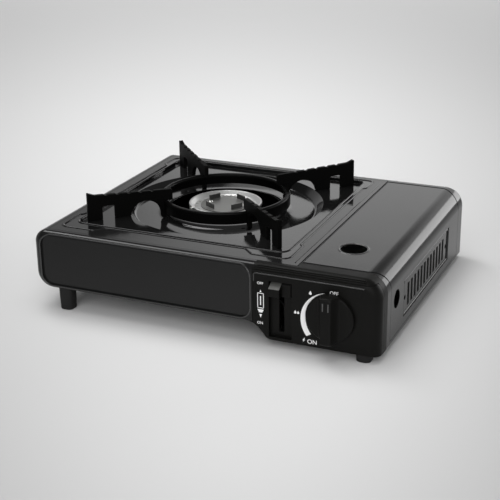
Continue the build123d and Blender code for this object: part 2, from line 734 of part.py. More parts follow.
def make_pusher():
    """Plate with a slanted slot, a long arm and a paddle behind the cartridge."""
    y_pin = FRONT + LEVER_PIN_FROM_FRONT
    z_pin = lever_pin_z()
    x0, x1 = PUSHER_X, PUSHER_X + PUSHER_T
    front = y_pin - PUSHER_EDGE
    rear = y_pin + PUSH_TRAVEL + PUSHER_EDGE
    back = CAN_Y1 + PUSH_TRAVEL + PUSHER_GAP
    pusher = block(x0, x1, front, rear, z_pin - LEVER_TRAVEL - PUSHER_EDGE, z_pin + PUSHER_HEAD)
    pusher += block(x0, x1, rear - OVER, back + PUSHER_T, PUSHER_ARM_Z, PUSHER_ARM_Z + PUSHER_ARM)
    pusher += block(x0, CAN_X, back, back + PUSHER_T, CAN_Z - PUSHER_ARM, PUSHER_ARM_Z + PUSHER_ARM)
    run = math.hypot(LEVER_TRAVEL, PUSH_TRAVEL)
    tilt = math.degrees(math.atan2(PUSH_TRAVEL, LEVER_TRAVEL))
    slot = SlotCenterToCenter(run, 2 * (LEVER_PIN_R + 2 * FIT), rotation=90 + tilt)
    middle = Pos(y_pin + PUSH_TRAVEL / 2, z_pin - LEVER_TRAVEL / 2)
    cut = extrude(Plane.YZ.offset(x0 - OVER) * middle * slot, PUSHER_T + 2 * OVER)
    return pusher - cut


def make_heat_shield():
    """Partition between the burner and the cartridge bay."""
    y0, y1 = FRONT + SHIELD_FRONT, REAR - SHIELD_REAR
    shield = block(SHIELD_X, SHIELD_X + SHEET, y0, y1, BASE_TOP_RIGHT, UNDER - SHEET)
    return shield + block(SHIELD_X - LEDGE, SHIELD_X + SHEET, y0, y1, BASE_TOP_RIGHT, BASE_TOP_RIGHT + SHEET)


def make_base_plate():
    """Bottom sheet that follows the step of the casing and lies on its rim."""
    strip = offset(casing_profile(), -SHEET) - offset(casing_profile(), -2 * SHEET)
    x0 = -HALF + BOTTOM_LEFT_R + SHEET
    x1 = guide_right() + GUIDE_T
    window = Rectangle(x1 - x0, BASE_TOP_LEFT + 2 * OVER)
    strip &= Pos((x0 + x1) / 2, BASE_TOP_LEFT / 2) * window
    plate = across(strip, FRONT + BASE_MARGIN + SEAM, REAR - BASE_MARGIN)
    for x, y, z in base_screw_places():
        plate -= rod_z(z - OVER, z + 3 * OVER, x, y, SCREW_R + FIT)
    return plate


def guide_right():
    """Inner face of the right rail."""
    return CAN_X + CAN_R + RUN


def make_guide(x):
    """Rail beside the cartridge."""
    y0, y1 = CAN_Y0 + 2 * GUIDE_H, CAN_Y1 - 2 * GUIDE_H
    return block(x, x + GUIDE_T, y0, y1, BASE_TOP_RIGHT, BASE_TOP_RIGHT + GUIDE_H)


def make_regulator():
    """Regulator casting, its cover, the inlet, the seal and the bracket."""
    y0 = FRONT + REG_FRONT
    y1 = y0 + REG_LENGTH
    y2 = y1 + COVER_T
    y3 = y2 + INLET_LENGTH
    gas_y = FRONT + PIPE_FROM_FRONT
    body = rod_y(y0, y1, CAN_X, CAN_Z, REG_R)
    body += rod_x(CAN_X - REG_R - GAS_BOSS, CAN_X, gas_y, GAS_Z, GAS_BOSS_R)
    body -= rod_y(y0 - OVER, FRONT + SPINDLE_END + OVER, KNOB_X, KNOB_Z, SPINDLE_R + FIT)
    body -= rod_x(CAN_X - REG_R - GAS_BOSS - OVER, CAN_X - REG_R, gas_y, GAS_Z, PIPE_R + PRESS)
    cover = rod_y(y1, y2, CAN_X, CAN_Z, COVER_R)
    inlet = rod_y(y2, y3, CAN_X, CAN_Z, INLET_R)
    inlet -= rod_y(y3 - INLET_BORE, y3 + OVER, CAN_X, CAN_Z, INLET_BORE_R)
    seal = rod_y(y3, y3 + SEAL_T, CAN_X, CAN_Z, SEAL_R)
    seal -= rod_y(y3 - OVER, y3 + SEAL_T + OVER, CAN_X, CAN_Z, SEAL_HOLE_R)
    left, right = CAN_X - BRACKET_HALF, CAN_X + BRACKET_HALF
    bracket = block(left, right, y0 - BRACKET_T, y0, BASE_TOP_RIGHT, CAN_Z + REG_R)
    bracket += block(left, right, y0 - BRACKET_T, y1, BASE_TOP_RIGHT, BASE_TOP_RIGHT + BRACKET_T)
    bracket -= rod_y(y0 - BRACKET_T - OVER, y0 + OVER, KNOB_X, KNOB_Z, SPINDLE_HOLE_R)
    for x, y, _ in base_screw_places():
        bracket -= rod_z(RIGHT_BOTTOM, BASE_TOP_RIGHT + 2 * BRACKET_T, x, y, SCREW_R + FIT)
    screws = []
    for side in (-1, 1):
        x, z = CAN_X + side * REG_R / 2, CAN_Z + REG_R / 2
        bracket -= rod_y(y0 - BRACKET_T - OVER, y0 + OVER, x, z, SCREW_R + FIT)
        body -= rod_y(y0 - OVER, y0 + SCREW_REACH, x, z, SCREW_R + PRESS)
        screws.append(screw_back(x, y0 - BRACKET_T, z, SCREW_REACH))
    return body, cover, inlet, seal, bracket, screws


def make_gas_pipe():
    """Copper pipe from the regulator to the jet."""
    y0 = FRONT + PIPE_FROM_FRONT
    points = [
        (CAN_X - REG_R, y0, GAS_Z),
        (PIPE_X, y0, GAS_Z),
        (PIPE_X, BURNER_Y, GAS_Z),
        (JET_X + JET_LENGTH, BURNER_Y, GAS_Z),
    ]
    path = FilletPolyline(*points, radius=PIPE_BEND)
    section = Plane(origin=points[0], z_dir=(-1, 0, 0)) * Circle(PIPE_R)
    return sweep(section, path=path)


def make_mixing_tube():
    """Venturi tube with air windows and an end wall for the jet."""
    x0, x1 = BURNER_X + NECK_R, JET_X + TUBE_WALL
    tube = rod_x(x0, x1, BURNER_Y, GAS_Z, TUBE_R)
    tube -= rod_x(x0 - OVER, JET_X, BURNER_Y, GAS_Z, TUBE_R - TUBE_WALL)
    tube -= rod_x(JET_X - OVER, x1 + OVER, BURNER_Y, GAS_Z, JET_SHANK_R + PRESS)
    window = JET_X - TUBE_R
    wide, slim = TUBE_R + OVER, TUBE_AIR / 2
    for dy, dz in ((slim, wide), (wide, slim)):
        tube -= block(window - TUBE_AIR, window, BURNER_Y - dy, BURNER_Y + dy, GAS_Z - dz, GAS_Z + dz)
    return tube


def make_gas_jet():
    """Brass jet in the end of the mixing tube."""
    x1 = JET_X + TUBE_WALL
    jet = rod_x(x1 - JET_SHANK, x1, BURNER_Y, GAS_Z, JET_SHANK_R)
    jet += rod_x(x1, JET_X + JET_LENGTH, BURNER_Y, GAS_Z, JET_R)
    return jet - rod_x(x1 - JET_SHANK - OVER, JET_X + JET_LENGTH - JET_WALL, BURNER_Y, GAS_Z, JET_BORE_R)


def make_burner_body():
    """Cast burner bowl on a neck, with the socket for the mixing tube."""
    t = BURNER_WALL
    points = [
        (0, BURNER_BOTTOM),
        (NECK_R, BURNER_BOTTOM),
        (NECK_R, BURNER_CUP_Z - BURNER_CUP_DROP),
        (BURNER_CUP_R, BURNER_CUP_Z),
        (BURNER_CUP_R, BURNER_SEAT),
        (BURNER_CUP_R - t, BURNER_SEAT),
        (BURNER_CUP_R - t, BURNER_CUP_Z + t),
        (NECK_R - t, BURNER_CUP_Z + t - BURNER_CUP_DROP),
        (NECK_R - t, BURNER_BOTTOM + t / 2),
        (0, BURNER_BOTTOM + t / 2),
    ]
    body = turned(points, [0] * len(points))
    x0 = BURNER_X + NECK_R
    body += rod_x(x0 - t, x0 + TUBE_SEAT, BURNER_Y, GAS_Z, TUBE_R + t - TUBE_WALL / 2)
    body -= rod_x(x0, x0 + TUBE_SEAT + OVER, BURNER_Y, GAS_Z, TUBE_R + PRESS)
    body -= rod_x(BURNER_X, x0 + OVER, BURNER_Y, GAS_Z, TUBE_R - TUBE_WALL)
    for x, y in burner_screw_places():
        body += rod_z(BURNER_CUP_Z - OVER, HEAD_FLOOR, x, y, BURNER_POST_R)
        body -= rod_z(HEAD_FLOOR - SCREW_REACH - OVER, HEAD_FLOOR + OVER, x, y, SCREW_R + PRESS)
    return body


def make_burner_head():
    """Dished ring with the flame ports and a rolled rim."""
    points = [
        (HEAD_HOLE_R, BURNER_SEAT),
        (BURNER_CUP_R, BURNER_SEAT),
        (HEAD_R, HEAD_TOP - HEAD_RIM_DROP),
        (HEAD_R, HEAD_TOP),
        (HEAD_R - HEAD_RIM, HEAD_TOP),
        (BURNER_CUP_R, HEAD_FLOOR),
        (HEAD_HOLE_R, HEAD_FLOOR),
    ]
    roll = HEAD_RIM / 2 - FIT
    head = turned(points, [0, HEAD_RIM, HEAD_RIM, roll, roll, HEAD_RIM, 0])
    for k in range(PORTS):
        slit = Box(PORT_LENGTH, PORT_WIDTH, 4 * (HEAD_FLOOR - BURNER_SEAT))
        port = Rot(0, 0, 360 / PORTS * k) * Pos(PORT_R, 0, BURNER_SEAT) * slit
        head -= Pos(BURNER_X, BURNER_Y, 0) * port
    return head


def make_burner_cap():
    """Flame spreader: a disc with upright tabs."""
    z = HEAD_FLOOR
    cap = rod_z(z, z + CAP_T, BURNER_X, BURNER_Y, CAP_R)
    for k in range(CAP_TABS):
        tab = Pos(TAB_R, 0, z + TAB_H / 2) * Box(CAP_T, TAB_W, TAB_H)
        cap += Pos(BURNER_X, BURNER_Y, 0) * Rot(0, 0, TAB_TURN + 360 / CAP_TABS * k) * tab
    for x, y in burner_screw_places():
        cap -= rod_z(z - OVER, z + 3 * OVER, x, y, SCREW_R + FIT)
    return cap


def burner_screw_places():
    """Screws of the flame spreader."""
    reach = HEAD_HOLE_R - BURNER_POST_R - BURNER_WALL / 2
    return [(BURNER_X - reach, BURNER_Y), (BURNER_X + reach, BURNER_Y)]


def make_burner_bracket():
    """Bridge under the burner that also carries the electrode."""
    x0, x1 = ELECTRODE_X - FRAME_EDGE, BURNER_X + FRAME_W / 2
    y0, y1 = BURNER_Y - FRAME_HALF, BURNER_Y + FRAME_HALF
    bridge = block(x0, x1, y0, y1, FRAME_TOP - FRAME_T, FRAME_TOP)
    for a, b, foot in ((y0, y0 + FRAME_T, y0 - FRAME_FOOT), (y1 - FRAME_T, y1, y1 + FRAME_FOOT)):
        bridge += block(x0, x1, a, b, BASE_TOP_LEFT, FRAME_TOP)
        bridge += block(x0, x1, min(a, foot), max(b, foot), BASE_TOP_LEFT, BASE_TOP_LEFT + FRAME_T)
    return bridge - rod_z(FRAME_TOP - FRAME_T - OVER, FRAME_TOP + OVER, ELECTRODE_X, ELECTRODE_Y, ROD_R + FIT)


def make_electrode():
    """Spark rod with its tip bent towards the burner."""
    rod = rod_z(FRAME_TOP - FRAME_T - ELECTRODE_TAIL, ELECTRODE_TOP, ELECTRODE_X, ELECTRODE_Y, ROD_R)
    y0, y1 = ELECTRODE_Y - ROD_R, ELECTRODE_Y + ELECTRODE_BEND
    return rod + rod_y(y0, y1, ELECTRODE_X, ELECTRODE_TOP - ROD_R, ROD_R)


def make_insulator():
    """Ceramic sleeve round the spark rod."""
    sleeve = rod_z(FRAME_TOP, INSULATOR_TOP, ELECTRODE_X, ELECTRODE_Y, INSULATOR_R)
    return sleeve - rod_z(FRAME_TOP - OVER, INSULATOR_TOP + OVER, ELECTRODE_X, ELECTRODE_Y, ROD_R + PRESS)


def make_igniter_lead():
    """Insulated wire from the igniter, under the regulator, to the spark rod."""
    x0, y0 = IGNITER_X1 - 2 * LEAD_R, PANEL_IN + IGNITER_DEPTH
    low, high = BASE_TOP_RIGHT + LEAD_LIFT, BASE_TOP_LEFT + LEAD_LIFT + 3 * LEAD_R
    run_y = FRONT + LEAD_FROM_FRONT
    points = [
        (x0, y0, KNOB_Z),
        (x0, run_y, KNOB_Z),
        (x0, run_y, low),
        (LEAD_RISE_X, run_y, low),
        (LEAD_RISE_X, run_y, high),
        (LEAD_TURN_X, run_y, high),
        (LEAD_TURN_X, ELECTRODE_Y, high),
        (ELECTRODE_X + ROD_R, ELECTRODE_Y, high),
    ]
    path = FilletPolyline(*points, radius=LEAD_BEND)
    section = Plane(origin=points[0], z_dir=(0, 1, 0)) * Circle(LEAD_R)
    return sweep(section, path=path)


def make_foot(x, y0, height, outer):
    """Tapered foot that follows the underside of the casing."""
    cy = y0 + FOOT_D / 2
    low = Pos(x, cy, 0) * RectangleRounded(FOOT_W - FOOT_TAPER, FOOT_D - FOOT_TAPER, FOOT_R)
    high = Pos(x, cy, height + EDGE_R) * RectangleRounded(FOOT_W, FOOT_D, FOOT_R)
    return loft([low, high]) - outer


def main():
    """Build every piece and write it."""
    outer, inner = envelope(0), envelope(SHEET)
    parts = {
        "body_shell": make_body_shell(outer, inner),
        "top_plate": make_top_plate(),
        "base_plate": make_base_plate(),
        "heat_shield": make_heat_shield(),
        "control_panel": make_control_panel(outer),
        "cartridge_lid": make_lid(outer, inner),
        "drip_tray": make_drip_tray(),
        "pan_ring": make_pan_ring(),
        "gas_knob": make_knob(),
        "valve_spindle": make_spindle(),
        "igniter_cam": make_igniter_cam(),
        "igniter_plunger": make_plunger(),
        "igniter_body": make_igniter_body(),
        "igniter_lead": make_igniter_lead(),
        "cartridge_lever": make_lever(),
        "lever_slider": make_lever_slider(),
        "lever_pin": make_lever_pin(),
        "cartridge_pusher": make_pusher(),
        "cartridge_guide_left": make_guide(CAN_X - CAN_R - RUN - GUIDE_T),
        "cartridge_guide_right": make_guide(guide_right()),
        "gas_pipe": make_gas_pipe(),
        "gas_jet": make_gas_jet(),
        "mixing_tube": make_mixing_tube(),
        "burner_body": make_burner_body(),
        "burner_head": make_burner_head(),
        "burner_cap": make_burner_cap(),
        "burner_bracket": make_burner_bracket(),
        "electrode": make_electrode(),
        "electrode_insulator": make_insulator(),
        "foot_front_left": make_foot(FOOT_LEFT_X, FRONT + FOOT_INSET_LEFT, LEFT_BOTTOM, outer),
        "foot_rear_left": make_foot(FOOT_LEFT_X, REAR - FOOT_INSET_LEFT - FOOT_D, LEFT_BOTTOM, outer),
        "foot_front_right": make_foot(FOOT_RIGHT_X, FRONT + FOOT_INSET_RIGHT, RIGHT_BOTTOM, outer),
        "foot_rear_right": make_foot(FOOT_RIGHT_X, REAR - FOOT_INSET_RIGHT - FOOT_D, RIGHT_BOTTOM, outer),
    }
    names = ("regulator_body", "regulator_cover", "gas_inlet", "inlet_seal",
             "regulator_bracket", "regulator_screws")
    parts.update(zip(names, make_regulator()))
    corners = {"front_right": -45, "rear_right": 45, "rear_left": 135, "front_left": 225}
    for corner, angle in corners.items():
        parts["pan_arm_" + corner] = make_pan_arm(angle)
    pins = []
    for end, (seam, way) in hinge_places().items():
        parts["hinge_ear_" + end] = make_hinge_ear(seam, way)
        parts["lid_hinge_" + end] = make_lid_hinge(seam, way)
        pins.append(make_hinge_pin(seam, way))
    parts["hinge_pins"] = pins
    parts["base_screws"] = [screw_up(x, y, z, SCREW_REACH) for x, y, z in base_screw_places()]
    parts["panel_screws"] = [screw_up(x, y, RIGHT_BOTTOM, SCREW_REACH) for x, y in panel_screw_places()]
    cap_top = HEAD_FLOOR + CAP_T
    parts["burner_screws"] = [screw_down(x, y, cap_top, SCREW_REACH) for x, y in burner_screw_places()]
    os.makedirs("parts", exist_ok=True)
    for name, shape in parts.items():
        if isinstance(shape, list):
            shape = Compound(children=shape)
        export_step(shape, "parts/" + name + ".step")


main()
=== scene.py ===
"""Studio scene of a portable gas stove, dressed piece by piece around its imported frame."""

import json
import logging
import math
from dataclasses import dataclass, field
from enum import Enum
from typing import Callable, Sequence

import bmesh
import bpy
from mathutils import Euler, Matrix, Vector

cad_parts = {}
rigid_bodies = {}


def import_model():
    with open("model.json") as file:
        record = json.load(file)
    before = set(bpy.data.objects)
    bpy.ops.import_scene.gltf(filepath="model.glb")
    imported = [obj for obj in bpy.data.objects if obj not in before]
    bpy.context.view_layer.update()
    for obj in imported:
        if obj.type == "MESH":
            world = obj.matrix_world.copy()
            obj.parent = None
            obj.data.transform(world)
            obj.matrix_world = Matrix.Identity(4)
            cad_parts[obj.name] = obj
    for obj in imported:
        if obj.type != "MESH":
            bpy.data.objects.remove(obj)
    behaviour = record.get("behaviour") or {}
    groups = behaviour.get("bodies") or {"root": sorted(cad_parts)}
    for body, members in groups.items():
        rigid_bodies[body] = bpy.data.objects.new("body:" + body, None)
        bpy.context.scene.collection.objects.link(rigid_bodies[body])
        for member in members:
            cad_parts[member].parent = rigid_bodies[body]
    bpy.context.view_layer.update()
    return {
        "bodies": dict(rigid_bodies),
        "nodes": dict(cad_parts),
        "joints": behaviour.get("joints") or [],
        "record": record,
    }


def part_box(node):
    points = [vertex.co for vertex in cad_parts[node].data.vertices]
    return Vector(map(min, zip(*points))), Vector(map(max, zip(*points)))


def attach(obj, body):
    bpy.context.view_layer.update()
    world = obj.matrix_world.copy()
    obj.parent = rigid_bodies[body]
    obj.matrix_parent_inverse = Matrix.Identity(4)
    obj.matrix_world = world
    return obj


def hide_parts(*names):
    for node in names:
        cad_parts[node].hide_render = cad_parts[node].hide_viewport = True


LOG = logging.getLogger("stove")
MM = 0.001
Colour = tuple[float, float, float]
Point = tuple[float, float]
Place = tuple[float, float, float]

# Distances in metres under which points count as one: in new meshes, in copies of CAD nodes and along paths.
MERGE = 1e-6
CAD_MERGE = 2e-6
CROWDED = 0.05 * MM
SMOOTH_ANGLE = 38.0
WHITE = (1.0, 1.0, 1.0, 1.0)


class Texture(Enum):
    """Kind of fine relief that a finish carries."""

    PEEL = "peel"
    GRAIN = "grain"
    BRUSHED = "brushed"
    CAST = "cast"


class Facing(Enum):
    """Way that a screw head looks, as the turn of a head that looks up."""

    UP = (0.0, 0.0, 0.0)
    DOWN = (math.pi, 0.0, 0.0)
    FRONT = (math.pi / 2, 0.0, 0.0)


def grey(level: float) -> Colour:
    """Give a neutral colour."""
    return level, level, level


@dataclass(frozen=True)
class Finish:
    """Colour, gloss and fine relief of one surface."""

    name: str
    colour: Colour
    roughness: float
    metallic: float = 0.0
    texture: Texture = Texture.GRAIN
    cells: float = 500.0
    relief: float = 0.05
    smudge: float = 0.06
    worn: Colour = grey(0.3)
    wear: float = 0.0
    specular: float = 0.5


FINISHES: dict[str, Finish] = {finish.name: finish for finish in (
    Finish("casing_paint", grey(0.011), 0.1, texture=Texture.PEEL, cells=420.0, relief=0.02, smudge=0.05,
           worn=grey(0.03), wear=0.3, specular=0.24),
    # A lighter, more reflective copy of the casing paint, so the edge beads show painted highlight lines.
    Finish("highlight_edge_paint", grey(0.02), 0.2, texture=Texture.PEEL, cells=420.0, relief=0.02, smudge=0.05,
           specular=0.7),
    # Near-black paint for the lid's edge beads: a painted shadow of the seam gap.
    Finish("seam_shadow_paint", grey(0.001), 0.6, cells=900.0, relief=0.03, specular=0.03),
    Finish("arm_enamel", (0.0022, 0.0022, 0.0021), 0.55, texture=Texture.PEEL, cells=650.0, relief=0.06,
           smudge=0.08, worn=grey(0.012), wear=0.4, specular=0.06),
    Finish("tray_enamel", grey(0.007), 0.09, texture=Texture.PEEL, cells=300.0, relief=0.025, smudge=0.05,
           worn=grey(0.03), wear=0.3, specular=0.42),
    Finish("pan_enamel", (0.0022, 0.0022, 0.0021), 0.3, texture=Texture.PEEL, cells=650.0, relief=0.06,
           smudge=0.08, worn=(0.015, 0.015, 0.014), wear=0.4, specular=0.08),
    Finish("panel_plastic", (0.0058, 0.0057, 0.0052), 0.42, cells=1500.0, worn=(0.018, 0.018, 0.017),
           wear=0.25, specular=0.1),
    # A pale copy of the lever plastic: a painted highlight on the lit thumb face.
    Finish("thumb_sheen_paint", (0.085, 0.085, 0.08), 0.38, cells=1500.0, worn=(0.05, 0.05, 0.048), wear=0.4,
           specular=0.4),
    Finish("foot_rubber", grey(0.008), 0.65, cells=1100.0, relief=0.1, smudge=0.08, specular=0.2),
    Finish("burner_aluminium", (0.8, 0.8, 0.79), 0.45, 1.0, Texture.CAST, 900.0, 0.12, 0.1,
           worn=(0.85, 0.85, 0.83), wear=0.6),
    Finish("burner_cap", (0.36, 0.36, 0.35), 0.5, 1.0, Texture.CAST, 900.0, 0.12, 0.1,
           worn=(0.4, 0.4, 0.39), wear=0.4),
    # A darker copy of the cap's aluminium for its upright faces: painted shade.
    Finish("burner_cap_painted_shade", (0.09, 0.09, 0.088), 0.55, 1.0, Texture.CAST, 900.0, 0.12, 0.1),
    Finish("bright_steel", (0.6, 0.6, 0.58), 0.28, 1.0, Texture.BRUSHED, 1800.0, 0.04, 0.08,
           worn=(0.8, 0.8, 0.78), wear=0.3),
    Finish("plain_sheet", (0.5, 0.5, 0.49), 0.4, 1.0, Texture.BRUSHED, 900.0, 0.05, 0.12),
    Finish("brass", (0.72, 0.52, 0.22), 0.3, 1.0, Texture.BRUSHED, 1500.0, 0.04, 0.08),
    Finish("inner_plastic", grey(0.03), 0.45, cells=1300.0),
    Finish("ceramic", (0.82, 0.79, 0.72), 0.2, texture=Texture.PEEL, relief=0.03),
    Finish("seal_rubber", grey(0.015), 0.6, cells=1200.0, relief=0.08),
    Finish("white_ink", grey(0.95), 0.5, cells=2500.0, relief=0.04, smudge=0.05, worn=grey(0.8)),
    Finish("grey_ink", grey(0.075), 0.5, cells=2500.0, relief=0.04, smudge=0.05),
)}


class Graph:
    """Short hand for adding, setting and linking nodes in one tree."""

    def __init__(self, tree: bpy.types.NodeTree) -> None:
        """Keep the tree to work on."""
        self.tree = tree

    def add(self, kind: str, values: dict | None = None, **settings: object) -> bpy.types.Node:
        """Add a node.

        Args:
            kind: Blender's name of the node type.
            values: Value to set or socket to link, by input name or index.
            settings: Properties of the node itself.

        Returns:
            The new node.
        """
        node = self.tree.nodes.new(kind)
        for key, value in settings.items():
            setattr(node, key, value)
        for key, value in (values or {}).items():
            if isinstance(value, bpy.types.NodeSocket):
                self.link(value, node.inputs[key])
            else:
                node.inputs[key].default_value = value
        return node

    def link(self, source: bpy.types.NodeSocket, target: bpy.types.NodeSocket) -> None:
        """Link an output socket to an input socket."""
        self.tree.links.new(source, target)

    def math(self, operation: str, first: object, second: object) -> bpy.types.NodeSocket:
        """Give the result of a math node on two sockets or numbers."""
        return self.add("ShaderNodeMath", {0: first, 1: second}, operation=operation).outputs[0]

    def ramp(self, value: bpy.types.NodeSocket, start: Point, end: Point,
             smooth: bool = False) -> bpy.types.NodeSocket:
        """Map a value from one range to another, held at both ends.

        Args:
            value: Socket to map.
            start: First value and what it becomes.
            end: Last value and what it becomes.
            smooth: Ease in and out instead of a straight line.

        Returns:
            The mapped socket.
        """
        values = {"Value": value, "From Min": start[0], "From Max": end[0],
                  "To Min": start[1], "To Max": end[1]}
        style = "SMOOTHSTEP" if smooth else "LINEAR"
        return self.add("ShaderNodeMapRange", values, interpolation_type=style).outputs[0]


@dataclass
class ShaderKit:
    """Shared shader groups: fine relief and edge wear."""

    brushing: Place = (1.0, 0.04, 1.0)
    peel_detail: float = 1.0
    cast_detail: float = 6.0
    fine_detail: float = 3.0
    fine_roughness: float = 0.55
    cloud_scale: float = 14.0
    cloud_detail: float = 4.0
    cloud_roughness: float = 0.6
    wear_width: float = 0.8 * MM
    wear_amount: float = 0.3
    wear_samples: int = 4
    flat_cosine: float = 0.995
    edge_cosine: float = 0.8
    patch_scale: float = 120.0
    patch_detail: float = 5.0
    relief: dict[Texture, bpy.types.NodeTree] = field(init=False)
    wear: bpy.types.NodeTree = field(init=False)

    def __post_init__(self) -> None:
        """Build every group once."""
        self.relief = {kind: self._relief(kind) for kind in Texture}
        self.wear = self._wear()

    def _group(self, name: str, inputs: dict[str, float],
               outputs: Sequence[str]) -> tuple[Graph, dict, bpy.types.Node]:
        """Start a shader group.

        Args:
            name: Name of the group.
            inputs: Default value of each float input.
            outputs: Names of the float outputs.

        Returns:
            The graph, its input sockets by name, and the output node.
        """
        tree = bpy.data.node_groups.new(name, "ShaderNodeTree")
        for key, value in inputs.items():
            socket = tree.interface.new_socket(key, in_out="INPUT", socket_type="NodeSocketFloat")
            socket.default_value = value
        for key in outputs:
            tree.interface.new_socket(key, in_out="OUTPUT", socket_type="NodeSocketFloat")
        graph = Graph(tree)
        source = graph.add("NodeGroupInput")
        return graph, {key: source.outputs[key] for key in inputs}, graph.add("NodeGroupOutput")

    def _relief(self, kind: Texture) -> bpy.types.NodeTree:
        """Build the relief group of one texture kind.

        Args:
            kind: Texture to build.

        Returns:
            A group with outputs Height, for bump, and Cloud, for uneven gloss.
        """
        stretch = self.brushing if kind is Texture.BRUSHED else (1.0, 1.0, 1.0)
        detail = {Texture.PEEL: self.peel_detail, Texture.CAST: self.cast_detail}.get(kind, self.fine_detail)
        inputs = {"Cells": Finish.cells}
        graph, sockets, end = self._group(f"{kind.value}_relief", inputs, ("Height", "Cloud"))
        cells, place = sockets["Cells"], graph.add("ShaderNodeTexCoord").outputs["Object"]
        mapped = graph.add("ShaderNodeMapping", {"Vector": place, "Scale": stretch}).outputs["Vector"]
        height = graph.add("ShaderNodeTexNoise", {"Vector": mapped, "Scale": cells, "Detail": detail,
                                                  "Roughness": self.fine_roughness}).outputs[0]
        if kind in (Texture.CAST, Texture.GRAIN):
            pits = graph.add("ShaderNodeTexVoronoi", {"Vector": place, "Scale": cells, "Randomness": 1.0},
                             feature="F1")
            height = graph.math("MULTIPLY", height, pits.outputs["Distance"])
        values = {"Vector": place, "Scale": self.cloud_scale, "Detail": self.cloud_detail,
                  "Roughness": self.cloud_roughness}
        cloud = graph.add("ShaderNodeTexNoise", values)
        graph.link(height, end.inputs["Height"])
        graph.link(cloud.outputs[0], end.inputs["Cloud"])
        return graph.tree

    def _wear(self) -> bpy.types.NodeTree:
        """Build the edge wear group.

        Returns:
            A group with the output Mask, 1 on rubbed edges.
        """
        inputs = {"Width": self.wear_width, "Amount": self.wear_amount}
        graph, sockets, end = self._group("edge_wear", inputs, ("Mask",))
        rounded = graph.add("ShaderNodeBevel", {"Radius": sockets["Width"]}, samples=self.wear_samples)
        normals = (rounded.outputs["Normal"], graph.add("ShaderNodeNewGeometry").outputs["Normal"])
        dot = graph.add("ShaderNodeVectorMath", dict(enumerate(normals)), operation="DOT_PRODUCT")
        edge = graph.ramp(dot.outputs["Value"], (self.flat_cosine, 0.0), (self.edge_cosine, 1.0))
        place = graph.add("ShaderNodeTexCoord").outputs["Object"]
        patches = graph.add("ShaderNodeTexNoise", {"Vector": place, "Scale": self.patch_scale,
                                                   "Detail": self.patch_detail})
        broken = graph.math("MULTIPLY", edge, patches.outputs[0])
        graph.link(graph.math("MULTIPLY", broken, sockets["Amount"]), end.inputs["Mask"])
        return graph.tree


@dataclass
class Palette:
    """One material per finish, made when it is first asked for."""

    kit: ShaderKit
    cloud_low: float = 0.3
    cloud_high: float = 0.7
    least_roughness: float = 0.02
    faint: float = 0.04
    made: dict[str, bpy.types.Material] = field(default_factory=dict)

    def get(self, name: str) -> bpy.types.Material:
        """Give the material of a finish.

        Args:
            name: Name of the finish, which for CAD nodes is the record's slot.

        Returns:
            The material.
        """
        if name not in self.made:
            self.made[name] = self._make(FINISHES[name])
        return self.made[name]

    def _make(self, finish: Finish) -> bpy.types.Material:
        """Build the material of a finish.

        Args:
            finish: Look to build.

        Returns:
            A material with relief, uneven gloss and rubbed edges.
        """
        material = bpy.data.materials.new(finish.name)
        material.use_nodes = True
        graph = Graph(material.node_tree)
        shader = material.node_tree.nodes["Principled BSDF"]
        shader.inputs["Metallic"].default_value = finish.metallic
        shader.inputs["Specular IOR Level"].default_value = finish.specular
        relief = graph.add("ShaderNodeGroup", node_tree=self.kit.relief[finish.texture])
        relief.inputs["Cells"].default_value = finish.cells
        cloud = relief.outputs["Cloud"]
        least = max(finish.roughness - finish.smudge, self.least_roughness)
        most = finish.roughness + finish.smudge
        gloss = graph.ramp(cloud, (self.cloud_low, least), (self.cloud_high, most))
        graph.link(gloss, shader.inputs["Roughness"])
        bump = graph.add("ShaderNodeBump", {"Strength": finish.relief, "Distance": MM,
                                            "Height": relief.outputs["Height"]})
        graph.link(bump.outputs["Normal"], shader.inputs["Normal"])
        if finish.wear > 0:
            wear = graph.add("ShaderNodeGroup", node_tree=self.kit.wear)
            wear.inputs["Amount"].default_value = finish.wear
            share = wear.outputs["Mask"]
        else:
            share = graph.math("MULTIPLY", cloud, self.faint)
        # A colour mix has its factor at input 0, its colours at 6 and 7, and its result at output 2.
        tint = graph.add("ShaderNodeMix", data_type="RGBA")
        graph.link(share, tint.inputs[0])
        tint.inputs[6].default_value = (*finish.colour, 1.0)
        tint.inputs[7].default_value = (*finish.worn, 1.0)
        graph.link(tint.outputs[2], shader.inputs["Base Color"])
        return material


@dataclass
class Path:
    """Line through points in space."""

    points: list[Vector]
    closed: bool = False

    def moved(self, step: Vector) -> "Path":
        """Give the path shifted by a step."""
        return Path([p + step for p in self.points], self.closed)

    def inset(self, distance: float, least_cosine: float = 0.5) -> "Path":
        """Give a closed level path drawn inwards.

        Args:
            distance: How far, in metres, or outwards where it is negative.
            least_cosine: Limit on how far a sharp corner is drawn out.

        Returns:
            The new path, with crowded points left out.
        """
        kept = [p for k, p in enumerate(self.points) if (p - self.points[k - 1]).length > CROWDED]
        count = len(kept)
        area = sum(kept[k - 1].x * kept[k].y - kept[k].x * kept[k - 1].y for k in range(count))
        side = math.copysign(1.0, area)
        moved = []
        for k in range(count):
            ahead = (kept[(k + 1) % count] - kept[k]).normalized()
            behind = (kept[k] - kept[k - 1]).normalized()
            along = (ahead + behind).normalized()
            stretch = max(along.dot(ahead), least_cosine)
            moved.append(kept[k] + Vector((-along.y, along.x, 0.0)) * (side * distance / stretch))
        return Path(moved, True)

    def length(self) -> float:
        """Give the length of a closed path."""
        ends = zip(self.points, self.points[1:] + self.points[:1])
        return sum((b - a).length for a, b in ends)


